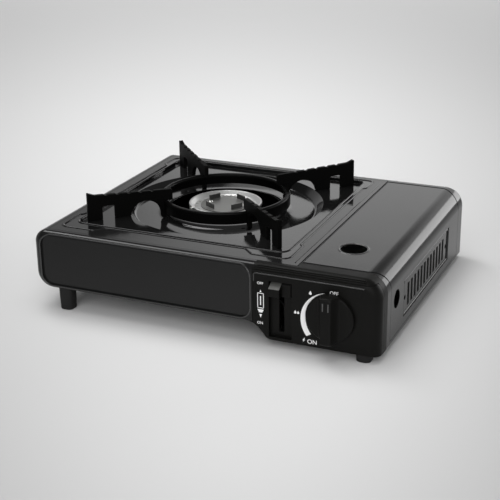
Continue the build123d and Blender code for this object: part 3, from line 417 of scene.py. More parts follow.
def rounded_frame(low: Point, high: Point, radius: float, steps: int = 8) -> list[Point]:
    """Give the outline of a rectangle with round corners.

    Args:
        low: Lowest corner.
        high: Highest corner.
        radius: Radius of its corners.
        steps: Segments in each corner.

    Returns:
        The outline's points, anticlockwise.
    """
    (x0, y0), (x1, y1) = low, high
    centres = ((x1 - radius, y0 + radius, -90), (x1 - radius, y1 - radius, 0),
               (x0 + radius, y1 - radius, 90), (x0 + radius, y0 + radius, 180))
    outline = []
    for cx, cy, start in centres:
        for k in range(steps + 1):
            angle = math.radians(start + 90 * k / steps)
            outline.append((cx + radius * math.cos(angle), cy + radius * math.sin(angle)))
    return outline


@dataclass
class NodeWorks:
    """Geometry node trees for what repeats or follows a path, each result turned into a plain mesh."""

    bead_sides: int = 14
    head_sides: int = 28
    head_taper: float = 0.72
    cross_reach: float = 1.1
    shank_sides: int = 16
    rim_sides: int = 8
    corner_steps: int = 4
    beads: bpy.types.NodeTree = field(init=False)
    screws: bpy.types.NodeTree = field(init=False)
    rims: bpy.types.NodeTree = field(init=False)

    def __post_init__(self) -> None:
        """Build every tree once."""
        self.beads = self._beads()
        self.screws = self._screws()
        self.rims = self._rims()

    def _tree(self, name: str, inputs: dict[str, object]) -> tuple[Graph, dict]:
        """Start a geometry tree with a points input, sizes and a material.

        Args:
            name: Name of the tree.
            inputs: Default value of each size, a number or a vector.

        Returns:
            The graph and its input sockets by name.
        """
        tree = bpy.data.node_groups.new(name, "GeometryNodeTree")
        face = tree.interface
        face.new_socket("Points", in_out="INPUT", socket_type="NodeSocketGeometry")
        for key, value in inputs.items():
            kind = "NodeSocketVector" if isinstance(value, tuple) else "NodeSocketFloat"
            face.new_socket(key, in_out="INPUT", socket_type=kind).default_value = value
        face.new_socket("Material", in_out="INPUT", socket_type="NodeSocketMaterial")
        face.new_socket("Geometry", in_out="OUTPUT", socket_type="NodeSocketGeometry")
        graph = Graph(tree)
        source = graph.add("NodeGroupInput")
        return graph, {socket.name: socket for socket in source.outputs if socket.name}

    def _close(self, graph: Graph, sockets: dict, shape: bpy.types.NodeSocket) -> bpy.types.NodeTree:
        """End a tree: repeat the shape on the points if it has a turn, realize it and give it its material.

        Args:
            graph: Tree to end.
            sockets: Its input sockets.
            shape: Geometry to repeat or to keep.

        Returns:
            The finished tree.
        """
        if "Turn" in sockets:
            values = {"Points": sockets["Points"], "Instance": shape, "Rotation": sockets["Turn"]}
            shape = graph.add("GeometryNodeInstanceOnPoints", values).outputs["Instances"]
        real = graph.add("GeometryNodeRealizeInstances", {"Geometry": shape}).outputs["Geometry"]
        paint = graph.add("GeometryNodeSetMaterial", {"Geometry": real, "Material": sockets["Material"]})
        graph.add("NodeGroupOutput", {"Geometry": paint.outputs["Geometry"]})
        return graph.tree

    def _sweep(self, graph: Graph, path: bpy.types.NodeSocket, radius: bpy.types.NodeSocket, sides: int,
               caps: bool) -> bpy.types.NodeSocket:
        """Sweep a circle along a curve.

        Args:
            graph: Tree to add to.
            path: Curve to follow.
            radius: Radius of the circle.
            sides: Number of its sides.
            caps: Close the ends.

        Returns:
            The swept mesh.
        """
        section = graph.add("GeometryNodeCurvePrimitiveCircle", {"Resolution": sides, "Radius": radius})
        values = {"Curve": path, "Profile Curve": section.outputs["Curve"], "Fill Caps": caps}
        return graph.add("GeometryNodeCurveToMesh", values).outputs["Mesh"]

    def _beads(self) -> bpy.types.NodeTree:
        """Build the tree of round beads along the edges of a wire.

        Returns:
            The tree.
        """
        graph, sockets = self._tree("beads", {"Radius": 0.5 * MM})
        path = graph.add("GeometryNodeMeshToCurve", {"Mesh": sockets["Points"]}).outputs["Curve"]
        return self._close(graph, sockets, self._sweep(graph, path, sockets["Radius"], self.bead_sides, True))

    def _screws(self) -> bpy.types.NodeTree:
        """Build the tree of pan-head screws with a cross recess, head upwards from the point.

        Returns:
            The tree.
        """
        sizes = {"Head Radius": 3 * MM, "Head Height": 1.6 * MM, "Shank Radius": 1.5 * MM, "Reach": 6 * MM,
                 "Recess": 0.8 * MM, "Turn": Facing.UP.value}
        graph, sockets = self._tree("screws", sizes)
        wide, high, reach = sockets["Head Radius"], sockets["Head Height"], sockets["Reach"]
        top, arm = (graph.math("MULTIPLY", wide, share) for share in (self.head_taper, self.cross_reach))
        values = {"Vertices": self.head_sides, "Side Segments": 1, "Depth": high, "Radius Top": top,
                  "Radius Bottom": wide}
        head = graph.add("GeometryNodeMeshCone", values)
        cut = graph.add("GeometryNodeMeshBoolean", {0: head.outputs["Mesh"]}, operation="DIFFERENCE")
        lift = graph.add("ShaderNodeCombineXYZ", {"Z": high}).outputs[0]
        for along, across in (("X", "Y"), ("Y", "X")):
            size = graph.add("ShaderNodeCombineXYZ", {along: arm, across: sockets["Recess"], "Z": high})
            slot = graph.add("GeometryNodeMeshCube", {"Size": size.outputs[0]}).outputs["Mesh"]
            move = graph.add("GeometryNodeTransform", {"Geometry": slot, "Translation": lift})
            graph.link(move.outputs["Geometry"], cut.inputs[1])
        shank = graph.add("GeometryNodeMeshCylinder", {"Vertices": self.shank_sides, "Depth": reach,
                                                       "Radius": sockets["Shank Radius"]}).outputs["Mesh"]
        drop = graph.add("ShaderNodeCombineXYZ", {"Z": graph.math("MULTIPLY", reach, -0.5)}).outputs[0]
        sink = graph.add("GeometryNodeTransform", {"Geometry": shank, "Translation": drop})
        both = graph.add("GeometryNodeJoinGeometry")
        for part in (sink.outputs["Geometry"], cut.outputs["Mesh"]):
            graph.link(part, both.inputs[0])
        return self._close(graph, sockets, both.outputs[0])

    def _rims(self) -> bpy.types.NodeTree:
        """Build the tree of rounded rectangular beads round slots.

        Returns:
            The tree.
        """
        sizes = {"Width": 4 * MM, "Height": 20 * MM, "Corner": 1.8 * MM, "Radius": 0.4 * MM,
                 "Turn": Facing.UP.value}
        graph, sockets = self._tree("slot_rims", sizes)
        sides = {key: sockets[key] for key in ("Width", "Height")}
        outline = graph.add("GeometryNodeCurvePrimitiveQuadrilateral", sides).outputs["Curve"]
        values = {"Curve": outline, "Count": self.corner_steps, "Radius": sockets["Corner"]}
        corner = graph.add("GeometryNodeFilletCurve", values, mode="POLY")
        sweep = self._sweep(graph, corner.outputs["Curve"], sockets["Radius"], self.rim_sides, False)
        return self._close(graph, sockets, sweep)

    def spread(self, name: str, tree: bpy.types.NodeTree, points: Sequence[Vector],
               material: bpy.types.Material, edges: Sequence[tuple[int, int]] = (),
               **sizes: object) -> bpy.types.Object:
        """Run a tree on points, or on a wire, and keep the result as a plain mesh.

        Args:
            name: Name of the piece.
            tree: Tree to run.
            points: Places of the repeated shape, or corners of the wire, in metres.
            material: Material of the piece.
            edges: Edges of the wire.
            sizes: Values of the tree's inputs, by name with spaces as underscores.

        Returns:
            The finished object, at the origin.
        """
        mesh = bpy.data.meshes.new(name)
        mesh.from_pydata([tuple(p) for p in points], list(edges), [])
        holder = bpy.data.objects.new(name, mesh)
        bpy.context.scene.collection.objects.link(holder)
        modifier = holder.modifiers.new("repeat", "NODES")
        modifier.node_group = tree
        values = {key.replace("_", " "): value for key, value in sizes.items()}
        values["Material"] = material
        for item in tree.interface.items_tree:
            if item.item_type == "SOCKET" and item.in_out == "INPUT" and item.name in values:
                modifier[item.identifier] = values[item.name]
        plain = baked(holder)
        holder.modifiers.clear()
        holder.data = plain
        shade(plain)
        return holder

    def trace(self, name: str, paths: Sequence[Path], radius: float,
              material: bpy.types.Material) -> bpy.types.Object:
        """Run a round bead along paths.

        Args:
            name: Name of the piece.
            paths: Paths to follow.
            radius: Radius of the bead.
            material: Material of the piece.

        Returns:
            The finished object, at the origin.
        """
        points, edges = [], []
        for path in paths:
            first, count = len(points), len(path.points)
            points.extend(path.points)
            edges.extend((first + k, first + k + 1) for k in range(count - 1))
            if path.closed:
                edges.append((first + count - 1, first))
        return self.spread(name, self.beads, points, material, edges, Radius=radius)


def baked(holder: bpy.types.Object) -> bpy.types.Mesh:
    """Give the evaluated mesh of an object, with its modifiers applied.

    Args:
        holder: Object to evaluate.

    Returns:
        A plain mesh.
    """
    graph = bpy.context.evaluated_depsgraph_get()
    graph.update()
    return bpy.data.meshes.new_from_object(holder.evaluated_get(graph), depsgraph=graph)


def shade(mesh: bpy.types.Mesh, angle: float = SMOOTH_ANGLE) -> None:
    """Shade a mesh smooth, with edges over an angle in degrees kept sharp."""
    mesh.polygons.foreach_set("use_smooth", [True] * len(mesh.polygons))
    mesh.set_sharp_from_angle(angle=math.radians(angle))


def soften(piece: bpy.types.Object, width: float, angle: float, segments: int = 2) -> None:
    """Bevel the sharp edges of a piece and keep its flats flat.

    Args:
        piece: Piece whose mesh is changed.
        width: Width of the bevel, in metres.
        angle: Edges sharper than this, in degrees, are bevelled.
        segments: Steps across the bevel.
    """
    bevel = piece.modifiers.new("soft_edges", "BEVEL")
    bevel.width = width
    bevel.segments = segments
    bevel.limit_method = "ANGLE"
    bevel.angle_limit = math.radians(angle)
    bevel.use_clamp_overlap = True
    bevel.harden_normals = True
    weigh = piece.modifiers.new("flat_normals", "WEIGHTED_NORMAL")
    weigh.keep_sharp = True
    plain = baked(piece)
    piece.modifiers.clear()
    piece.data = plain


def new_object(name: str, mesh: bpy.types.Mesh, material: bpy.types.Material) -> bpy.types.Object:
    """Put a mesh in the scene as an object at the origin.

    Args:
        name: Name of the object.
        mesh: Its mesh.
        material: Its first material.

    Returns:
        The object.
    """
    mesh.materials.clear()
    mesh.materials.append(material)
    made = bpy.data.objects.new(name, mesh)
    bpy.context.scene.collection.objects.link(made)
    return made


def mesh_of(name: str, fill: Callable[[bmesh.types.BMesh], None]) -> bpy.types.Mesh:
    """Make a mesh with a function that fills a BMesh.

    Args:
        name: Name of the mesh.
        fill: Function that adds the geometry.

    Returns:
        The mesh, with doubles merged and normals outwards.
    """
    work = bmesh.new()
    fill(work)
    bmesh.ops.remove_doubles(work, verts=work.verts, dist=MERGE)
    bmesh.ops.recalc_face_normals(work, faces=work.faces)
    mesh = bpy.data.meshes.new(name)
    work.to_mesh(mesh)
    work.free()
    return mesh


def prism(work: bmesh.types.BMesh, outline: Sequence[Vector], depth: Vector) -> None:
    """Add a closed prism.

    Args:
        work: BMesh to add to.
        outline: Corners of one end, in order.
        depth: Step from that end to the other.
    """
    near = [work.verts.new(p) for p in outline]
    far = [work.verts.new(p + depth) for p in outline]
    work.faces.new(near)
    work.faces.new(list(reversed(far)))
    for k in range(len(near)):
        after = (k + 1) % len(near)
        work.faces.new((near[k], far[k], far[after], near[after]))


def lathe(work: bmesh.types.BMesh, foot: Vector, profile: Sequence[Point], steps: int = 96) -> None:
    """Add a solid of revolution about an upright axis.

    Args:
        work: BMesh to add to.
        foot: Point on the axis.
        profile: Closed outline as (radius, height above the foot).
        steps: Number of segments.
    """
    rings = []
    for k in range(steps):
        angle = 2 * math.pi * k / steps
        rings.append([work.verts.new(foot + Vector((r * math.cos(angle), r * math.sin(angle), h)))
                      for r, h in profile])
    for k in range(steps):
        here, there = rings[k], rings[(k + 1) % steps]
        for j in range(len(profile)):
            after = (j + 1) % len(profile)
            work.faces.new((here[j], here[after], there[after], there[j]))


@dataclass
class Workshop:
    """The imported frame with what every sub-assembly needs to dress it."""

    frame: dict
    level_depth: float = 0.02 * MM
    flat_cosine: float = 0.999
    flat_angle: float = 0.2
    palette: Palette = field(init=False)
    works: NodeWorks = field(init=False)
    slots: dict[str, str] = field(init=False)
    body_of: dict[str, str] = field(init=False)

    def __post_init__(self) -> None:
        """Build the materials and trees, and read every node's slot and body."""
        record = self.frame["record"]
        self.palette = Palette(ShaderKit())
        self.works = NodeWorks()
        self.slots = {row["node"]: row["material_slot"] for row in record["subparts"]}
        bodies = record["behaviour"]["bodies"]
        self.body_of = {node: body for body, nodes in bodies.items() for node in nodes}

    def box(self, node: str) -> tuple[Vector, Vector]:
        """Give a node's lowest and highest corner."""
        low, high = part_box(node)
        return Vector(low), Vector(high)

    def dress(self) -> None:
        """Give every CAD node the material of its slot."""
        for node, thing in self.frame["nodes"].items():
            material = self.palette.get(self.slots[node])
            thing.data.materials.clear()
            thing.data.materials.append(material)

    def place(self, piece: bpy.types.Object, body: str, slot: str, *nodes: str) -> None:
        """Tie a piece to its body and hide the nodes that it stands for.

        Args:
            piece: Piece to tie.
            body: Body that it moves with.
            slot: Record's material slot; not used.
            nodes: CAD nodes that it replaces.
        """
        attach(piece, body)
        if nodes:
            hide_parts(*nodes)
        LOG.info("%s rides on %s and stands for %s", piece.name, body, ", ".join(nodes) or "no node")

    def add(self, name: str, mesh: bpy.types.Mesh, finish: str, body: str, slot: str, *nodes: str) -> None:
        """Put a mesh in the scene with a finish and tie it to its body and replaced nodes."""
        self.place(new_object(name, mesh, self.palette.get(finish)), body, slot, *nodes)

    def bead(self, name: str, body: str, slot: str, paths: Sequence[Path], radius: float,
             finish: str = "") -> None:
        """Run a bead along paths, in a finish or else the slot's own, and tie it to a body."""
        self.place(self.works.trace(name, paths, radius, self.palette.get(finish or slot)), body, slot)

    def copy(self, node: str) -> bmesh.types.BMesh:
        """Give a copy of a CAD node's mesh with its loose triangles merged.

        Args:
            node: CAD node to copy.

        Returns:
            The copy, for the caller to free.
        """
        work = bmesh.new()
        work.from_mesh(self.frame["nodes"][node].data)
        bmesh.ops.remove_doubles(work, verts=work.verts, dist=CAD_MERGE)
        return work

    def crests(self, node: str) -> list[Path]:
        """Find the closed edges round a node's highest flat.

        Args:
            node: CAD node to look at.

        Returns:
            The edges as paths, longest first.
        """
        work = self.copy(node)
        work.normal_update()
        level = max(vert.co.z for vert in work.verts) - self.level_depth
        links: dict[bmesh.types.BMVert, list[bmesh.types.BMVert]] = {}
        for edge in work.edges:
            flats = sum(face.normal.z > self.flat_cosine for face in edge.link_faces)
            if flats == 1 and len(edge.link_faces) == 2 and min(vert.co.z for vert in edge.verts) > level:
                first, second = edge.verts
                links.setdefault(first, []).append(second)
                links.setdefault(second, []).append(first)
        paths, seen = [], set()
        for start in links:
            chain, here = [], start
            while here is not None and here not in seen:
                seen.add(here)
                chain.append(here.co.copy())
                here = next((vert for vert in links[here] if vert not in seen), None)
            if len(chain) > 2:
                paths.append(Path(chain, True))
        work.free()
        return sorted(paths, key=Path.length, reverse=True)

    def skin(self, node: str, bevel: float, angle: float = 32.0, finish: str = "",
             cuts: Sequence[tuple[Vector, Vector]] = ()) -> bpy.types.Object:
        """Replace a node by a clean copy with softened edges.

        Args:
            node: CAD node to copy.
            bevel: Width of the softened edges, in metres.
            angle: Edges sharper than this, in degrees, are softened.
            finish: Finish to use instead of the slot's own.
            cuts: Planes, each a point and a normal, where faces are split for a second finish.

        Returns:
            The new piece.
        """
        work = self.copy(node)
        bmesh.ops.dissolve_degenerate(work, edges=work.edges, dist=MERGE)
        flat = math.radians(self.flat_angle)
        bmesh.ops.dissolve_limit(work, angle_limit=flat, verts=work.verts, edges=work.edges)
        for point, normal in cuts:
            geometry = [*work.verts, *work.edges, *work.faces]
            bmesh.ops.bisect_plane(work, geom=geometry, plane_co=point, plane_no=normal, dist=MERGE)
        mesh = bpy.data.meshes.new(f"{node}_skin")
        work.to_mesh(mesh)
        work.free()
        slot = self.slots[node]
        piece = new_object(f"{node}_skin", mesh, self.palette.get(finish or slot))
        shade(mesh, angle)
        soften(piece, bevel, angle)
        self.place(piece, self.body_of[node], slot, node)
        return piece

    def second_finish(self, piece: bpy.types.Object, finish: str,
                      test: Callable[[bpy.types.MeshPolygon], bool]) -> None:
        """Give some faces of a piece another finish.

        Args:
            piece: Piece to change.
            finish: Finish of the chosen faces.
            test: Tells whether a face is chosen.
        """
        piece.data.materials.append(self.palette.get(finish))
        for face in piece.data.polygons:
            face.material_index = int(test(face))


@dataclass
class Casing:
    """Pressed casing, top plate, base and feet, with the pressed lines on the top and the front."""

    shop: Workshop
    edge_radius: float = 9.0 * MM
    bevel: float = 0.28 * MM
    foot_bevel: float = 0.8 * MM
    line_radius: float = 0.9 * MM
    line_sink: float = 0.45 * MM
    side_line_gap: float = 4.0 * MM
    line_end_gap: float = 6.0 * MM
    inset_low: Point = (-162.5 * MM, 24.8 * MM)
    inset_high: Point = (51.5 * MM, 73.5 * MM)
    inset_radius: float = 10.0 * MM
    rim_radius: float = 0.8 * MM
    rim_sink: float = 0.35 * MM

    def build(self) -> None:
        """Skin the sheet pieces and feet and press the lines."""
        for node in ("top_plate", "base_plate"):
            self.shop.skin(node, self.bevel)
        self._shell()
        for side in ("front_left", "front_right", "rear_left", "rear_right"):
            self.shop.skin(f"foot_{side}", self.foot_bevel)
        self._side_line()
        self._inset_rim()

    def _shell(self) -> None:
        """Skin the casing, with a moulded brow between the lid and the control panel."""
        left, rear = self.shop.box("control_panel")[0].x, self.shop.box("cartridge_lid")[0].y
        cuts = [(Vector((left, 0, 0)), Vector((1, 0, 0))), (Vector((0, rear, 0)), Vector((0, 1, 0)))]
        piece = self.shop.skin("body_shell", self.bevel, cuts=cuts)
        self.shop.second_finish(piece, "panel_plastic",
                                lambda face: face.center.x > left and face.center.y < rear)

    def _side_line(self) -> None:
        """Press a long bead beside the lid seam."""
        low, high = self.shop.box("top_plate")
        x, z = high.x - self.side_line_gap, high.z - self.line_sink
        ends = (low.y + self.line_end_gap, high.y - self.line_end_gap)
        line = Path([Vector((x, y, z)) for y in ends])
        self.shop.bead("top_bead", "stove_body", "casing_paint", [line], self.line_radius)

    def _inset_rim(self) -> None:
        """Roll the edge of the front inset, which runs over the casing's rounded edge at the top."""
        low, high = self.shop.box("body_shell")
        grow, turn = self.rim_radius, high.z - self.edge_radius
        low_corner = (self.inset_low[0] - grow, self.inset_low[1] - grow)
        high_corner = (self.inset_high[0] + grow, self.inset_high[1] + grow)
        outline = rounded_frame(low_corner, high_corner, self.inset_radius + grow)
        points = []
        for x, z in outline:
            over = max(z - turn, 0.0)
            fall = self.edge_radius - math.sqrt(self.edge_radius ** 2 - over ** 2)
            points.append(Vector((x, low.y + fall + self.rim_sink, z)))
        rim = Path(points, True)
        # The rim bead is real; its lighter, glossier paint is a painted highlight line.
        self.shop.bead("inset_rim", "stove_body", "casing_paint", [rim], self.rim_radius, "highlight_edge_paint")


@dataclass
class CartridgeLid:
    """Hinged lid with its pressed collar, edge lines of painted seam shadow, louvre frame and the rims of its
    slots.
    """

    shop: Workshop
    bevel: float = 0.28 * MM
    slots: int = 12
    pitch: float = 10.6 * MM
    slot_width: float = 3.6 * MM
    slot_low: float = 23.5 * MM
    slot_high: float = 44.5 * MM
    recess: float = 1.2 * MM
    louvre_from_front: float = 68.0 * MM
    louvre_length: float = 154.0 * MM
    louvre_low: float = 17.0 * MM
    louvre_high: float = 53.0 * MM
    frame_radius: float = 1.0 * MM
    frame_gap: float = 2.2 * MM
    frame_corner: float = 3.0 * MM
    hole_radius: float = 12.0 * MM
    hole_x: float = 124.0 * MM
    hole_from_front: float = 68.0 * MM
    collar_width: float = 2.4 * MM
    collar_height: float = 0.4 * MM
    collar_foot: float = 0.3 * MM
    collar_lip: float = 0.35 * MM
    collar_inner: float = 0.9 * MM
    collar_outer: float = 0.6 * MM
    rim_radius: float = 0.32 * MM
    rim_turn: Place = (math.pi / 2, 0.0, math.pi / 2)
    bend_radius: float = 18.5 * MM
    bend_steps: int = 12
    side_step: float = 10.0 * MM
    hem_radius: float = 0.7 * MM
    hem_proud: float = 0.4 * MM
    seam_proud: float = 0.1 * MM
    front: float = field(init=False)
    low: Vector = field(init=False)
    high: Vector = field(init=False)

    def build(self) -> None:
        """Skin the lid and add the collar, the edge lines, the frame and the rims."""
        self.shop.skin("cartridge_lid", self.bevel)
        self.front = self.shop.box("body_shell")[0].y
        self.low, self.high = self.shop.box("cartridge_lid")
        self._collar()
        self._hems()
        self._frame()
        self._rims()

    def _collar(self) -> None:
        """Press a low ring round the finger hole."""
        foot = Vector((self.hole_x, self.front + self.hole_from_front, self.high.z))
        inner, outer, rise = self.hole_radius, self.hole_radius + self.collar_width, self.collar_height
        profile = [(inner + self.collar_foot, -rise), (inner + self.collar_lip, 0.0),
                   (inner + self.collar_inner, rise), (outer - self.collar_outer, rise), (outer, 0.0),
                   (outer, -rise)]
        mesh = mesh_of("lid_collar", lambda work: lathe(work, foot, profile))
        shade(mesh)
        # The collar is real; its lighter, glossier paint is a painted highlight on its ring.
        self.shop.add("lid_collar", mesh, "highlight_edge_paint", "lid", "casing_paint")

    def _hems(self) -> None:
        """Line the edges of the lid with near-black beads, a painted shadow of the seam gap: front and rear
        over the bend and down the side, and the seam on top.
        """
        low, high, radius = self.low, self.high, self.hem_radius
        bend = high.x - self.bend_radius
        paths = []
        for edge, way in ((low.y, 1.0), (high.y, -1.0)):
            y0 = edge + way * radius
            points = [Vector((low.x + radius, y0, high.z - radius + self.hem_proud))]
            for k in range(self.bend_steps + 1):
                angle = math.radians(90 * k / self.bend_steps)
                reach = self.bend_radius - radius + self.hem_proud * math.cos(angle)
                slant = way * self.side_step * math.sin(angle)
                points.append(Vector((bend + reach * math.sin(angle), y0 + slant,
                                      high.z - self.bend_radius + reach * math.cos(angle))))
            points.append(Vector((high.x - radius, y0 + way * self.side_step, low.z + radius)))
            paths.append(Path(points))
        x, z = low.x + radius, high.z - radius + self.seam_proud
        paths.append(Path([Vector((x, low.y + radius, z)), Vector((x, high.y - radius, z))]))
        self.shop.bead("lid_seam_shadows", "lid", "casing_paint", paths, radius, "seam_shadow_paint")

    def _frame(self) -> None:
        """Press a raised frame round the louvres."""
        x, start, gap = self.high.x - self.recess, self.front + self.louvre_from_front, self.frame_gap
        outline = rounded_frame((start + gap, self.louvre_low + gap),
                                (start + self.louvre_length - gap, self.louvre_high - gap), self.frame_corner)
        path = Path([Vector((x, y, z)) for y, z in outline], True)
        self.shop.bead("louvre_frame", "lid", "casing_paint", [path], self.frame_radius)

    def _rims(self) -> None:
        """Bead the edge of every slot."""
        x, slot, works = self.high.x - self.recess, "casing_paint", self.shop.works
        middle = self.front + self.louvre_from_front + self.louvre_length / 2
        first = middle - (self.slots - 1) / 2 * self.pitch
        height = (self.slot_low + self.slot_high) / 2
        points = [Vector((x, first + k * self.pitch, height)) for k in range(self.slots)]
        grow = 2 * self.rim_radius
        piece = works.spread("slot_rims", works.rims, points, self.shop.palette.get(slot),
                             Width=self.slot_width + grow, Height=self.slot_high - self.slot_low + grow,
                             Corner=self.rim_radius, Radius=self.rim_radius, Turn=self.rim_turn)
        self.shop.place(piece, "lid", slot)


@dataclass
class PanelPrint:
    """White marks on the control panel, as thin prints: places and sizes are (x, z, ...) in millimetres."""

    shop: Workshop
    depth: float = 0.06 * MM
    sink: float = 0.02 * MM
    dial_outer: Place = (126.7, 33.6, 26.9)
    dial_inner: Place = (129.9, 35.2, 25.6)
    dial_start: float = 104.0
    dial_end: float = 217.5
    dial_steps: int = 40
    letters: tuple[tuple[str, float, float, float], ...] = (
        ("OFF", 130.2, 61.1, 3.3), ("ON", 110.7, 12.2, 4.2), ("OFF", 62.0, 60.0, 2.4),
        ("ON", 61.7, 22.3, 2.6))
    capital_share: float = 0.73
    letter_weight: float = 0.012
    flames: tuple[Place, ...] = ((108.7, 58.6, 3.8), (94.9, 38.5, 3.4), (97.6, 38.3, 3.0))
    flame_width: float = 0.36
    flame_peak: float = 1.3
    flame_steps: int = 20
    bolt: Place = (102.9, 13.0, 4.2)
    bolt_shape: tuple[Point, ...] = ((0.12, 0.5), (-0.3, -0.08), (-0.02, -0.08), (-0.16, -0.5), (0.3, 0.12),
                                     (0.03, 0.12), (0.3, 0.5))
    can: tuple[float, float, float, float] = (59.2, 65.4, 27.4, 54.0)
    can_line: float = 0.7
    can_top_gap: float = 3.0
    can_base_gap: float = 9.0
    can_mark: float = 0.5
    can_mark_gap: float = 3.0
    cap_start: float = 1.0
    cap_end: float = 4.0
    arrow_up: Point = (0.9, 2.2)
    arrow_down: Point = (1.3, 3.4)
    face: float = field(init=False)

    def build(self) -> None:
        """Make all marks as one piece on the panel."""
        self.face = self.shop.box("control_panel")[0].y
        marks = {"dial_arc": self._dial, "flames": self._flames, "bolt": self._bolt, "can_sign": self._can}
        meshes = [mesh_of(name, form) for name, form in marks.items()]
        meshes += [self._word(*row) for row in self.letters]
        whole = bmesh.new()
        for mesh in meshes:
            whole.from_mesh(mesh)
        mesh = bpy.data.meshes.new("panel_print")
        whole.to_mesh(mesh)
        whole.free()
        self.shop.add("panel_print", mesh, "white_ink", "stove_body", "panel_plastic")

    def _flat(self, work: bmesh.types.BMesh, outline: Sequence[Point]) -> None:
        """Add one printed outline, with corners as (x, z) in millimetres."""
        near = self.face - self.depth + self.sink
        prism(work, [Vector((x * MM, near, z * MM)) for x, z in outline], Vector((0, self.depth, 0)))

    def _dial(self, work: bmesh.types.BMesh) -> None:
        """Add the flame-size arc, thin at the top and thick at the bottom.

        Args:
            work: BMesh to add to.
        """
        span = self.dial_end - self.dial_start
        turns = [self.dial_start + span * k / self.dial_steps for k in range(self.dial_steps + 1)]
        angles = [math.radians(turn) for turn in turns]
        outer, inner = ([(cx + radius * math.cos(a), cz + radius * math.sin(a)) for a in angles]
                        for cx, cz, radius in (self.dial_outer, self.dial_inner))
        self._flat(work, outer + list(reversed(inner)))

    def _flames(self, work: bmesh.types.BMesh) -> None:
        """Add the flame signs: one small flame, and a pair for full heat.

        Args:
            work: BMesh to add to.
        """
        for cx, cz, size in self.flames:
            outline = []
            for k in range(self.flame_steps):
                t = 2 * math.pi * k / self.flame_steps
                width = self.flame_width * size * math.sin(t) * (1 - math.cos(t)) / self.flame_peak
                outline.append((cx + width, cz + size / 2 * math.cos(t)))
            self._flat(work, outline)

    def _bolt(self, work: bmesh.types.BMesh) -> None:
        """Add the spark sign."""
        cx, cz, size = self.bolt
        self._flat(work, [(cx + x * size, cz + z * size) for x, z in self.bolt_shape])

    def _can(self, work: bmesh.types.BMesh) -> None:
        """Add the cartridge sign: a canister outline between two arrow heads.

        Args:
            work: BMesh to add to.
        """
        left, right, low, high = self.can
        middle, line, mark = (left + right) / 2, self.can_line, self.can_mark
        top, base = high - self.can_top_gap, low + self.can_base_gap
        bars = ((left, left + line, base, top), (right - line, right, base, top),
                (left, right, top - line, top), (left, right, base, base + line),
                (middle - mark, middle + mark, base + self.can_mark_gap, top - self.can_mark_gap))
        for x0, x1, z0, z1 in bars:
            self._flat(work, [(x0, z0), (x1, z0), (x1, z1), (x0, z1)])
        neck, start, end = (right - left) / 4, base - self.cap_start, base - self.cap_end
        self._flat(work, [(left, start), (right, start), (middle + neck, end), (middle - neck, end)])
        for (half, tall), tip, way in ((self.arrow_up, high, -1), (self.arrow_down, low, 1)):
            foot = tip + way * tall
            self._flat(work, [(middle - half, foot), (middle + half, foot), (middle, tip)])

    def _word(self, text: str, x: float, z: float, height: float) -> bpy.types.Mesh:
        """Make a printed word.

        Args:
            text: Word to print.
            x: Centre, in millimetres.
            z: Centre, in millimetres.
            height: Capital height, in millimetres.

        Returns:
            Its mesh, on the panel.
        """
        curve = bpy.data.curves.new("word", "FONT")
        curve.body = text
        curve.align_x, curve.align_y = "CENTER", "CENTER"
        curve.size = height * MM / self.capital_share
        curve.extrude = self.depth / 2
        curve.offset = self.letter_weight * height * MM
        holder = bpy.data.objects.new("word", curve)
        bpy.context.scene.collection.objects.link(holder)
        mesh = baked(holder)
        bpy.data.objects.remove(holder)
        place = Vector((x * MM, self.face - self.depth / 2 + self.sink, z * MM))
        mesh.transform(Matrix.Translation(place) @ Matrix.Rotation(math.pi / 2, 4, "X"))
        return mesh


@dataclass
class ControlPanel:
    """Moulded panel with a bead along its top edge and the ribs of its brow."""

    shop: Workshop
    bevel: float = 0.4 * MM
    edge_radius: float = 9.0 * MM
    rib_angles: tuple[float, ...] = (36.0, 47.0, 58.0)
    rib_radius: float = 0.55 * MM
    rib_start: float = 58.0 * MM
    rib_end: float = 157.0 * MM
    border_angle: float = 10.0
    border_radius: float = 0.6 * MM
    border_sink: float = 0.25 * MM
    border_in: float = 1.4 * MM
    border_corner: float = 2.5 * MM
    border_drop: float = 6.0 * MM
    border_steps: int = 6
    front: float = field(init=False)
    turn: float = field(init=False)

    def build(self) -> None:
        """Skin the panel, add the ribs and the border and print the marks."""
        self.shop.skin("control_panel", self.bevel)
        low, high = self.shop.box("body_shell")
        self.front, self.turn = low.y, high.z - self.edge_radius
        ends = (self.rib_start, self.rib_end)
        ribs = [Path([self._edge(x, angle, 0.0) for x in ends]) for angle in self.rib_angles]
        self.shop.bead("brow_ribs", "stove_body", "panel_plastic", ribs, self.rib_radius)
        self._border()
        PanelPrint(self.shop).build()

    def _edge(self, x: float, angle: float, sink: float) -> Vector:
        """Give a point on the casing's rounded front edge.

        Args:
            x: Place along the edge.
            angle: Degrees up from the front face.
            sink: Depth under the surface.

        Returns:
            The point.
        """
        a, reach = math.radians(angle), self.edge_radius - sink
        y = self.front + self.edge_radius - reach * math.cos(a)
        return Vector((x, y, self.turn + reach * math.sin(a)))

    def _border(self) -> None:
        """Run a fine bead round the panel's top left corner and along its top edge."""
        left, sink = self.shop.box("control_panel")[0].x + self.border_in, self.border_sink
        points = [Vector((left, self.front + sink, self.turn - self.border_drop))]
        for k in range(self.border_steps + 1):
            share = math.pi / 2 * k / self.border_steps
            x = left + self.border_corner * (1 - math.cos(share))
            points.append(self._edge(x, self.border_angle * math.sin(share), sink))
        points.append(self._edge(self.rib_end, self.border_angle, sink))
        # The border bead is real; its lighter, glossier paint is a painted highlight line.
        self.shop.bead("panel_border", "stove_body", "panel_plastic", [Path(points)], self.border_radius,
                       "highlight_edge_paint")


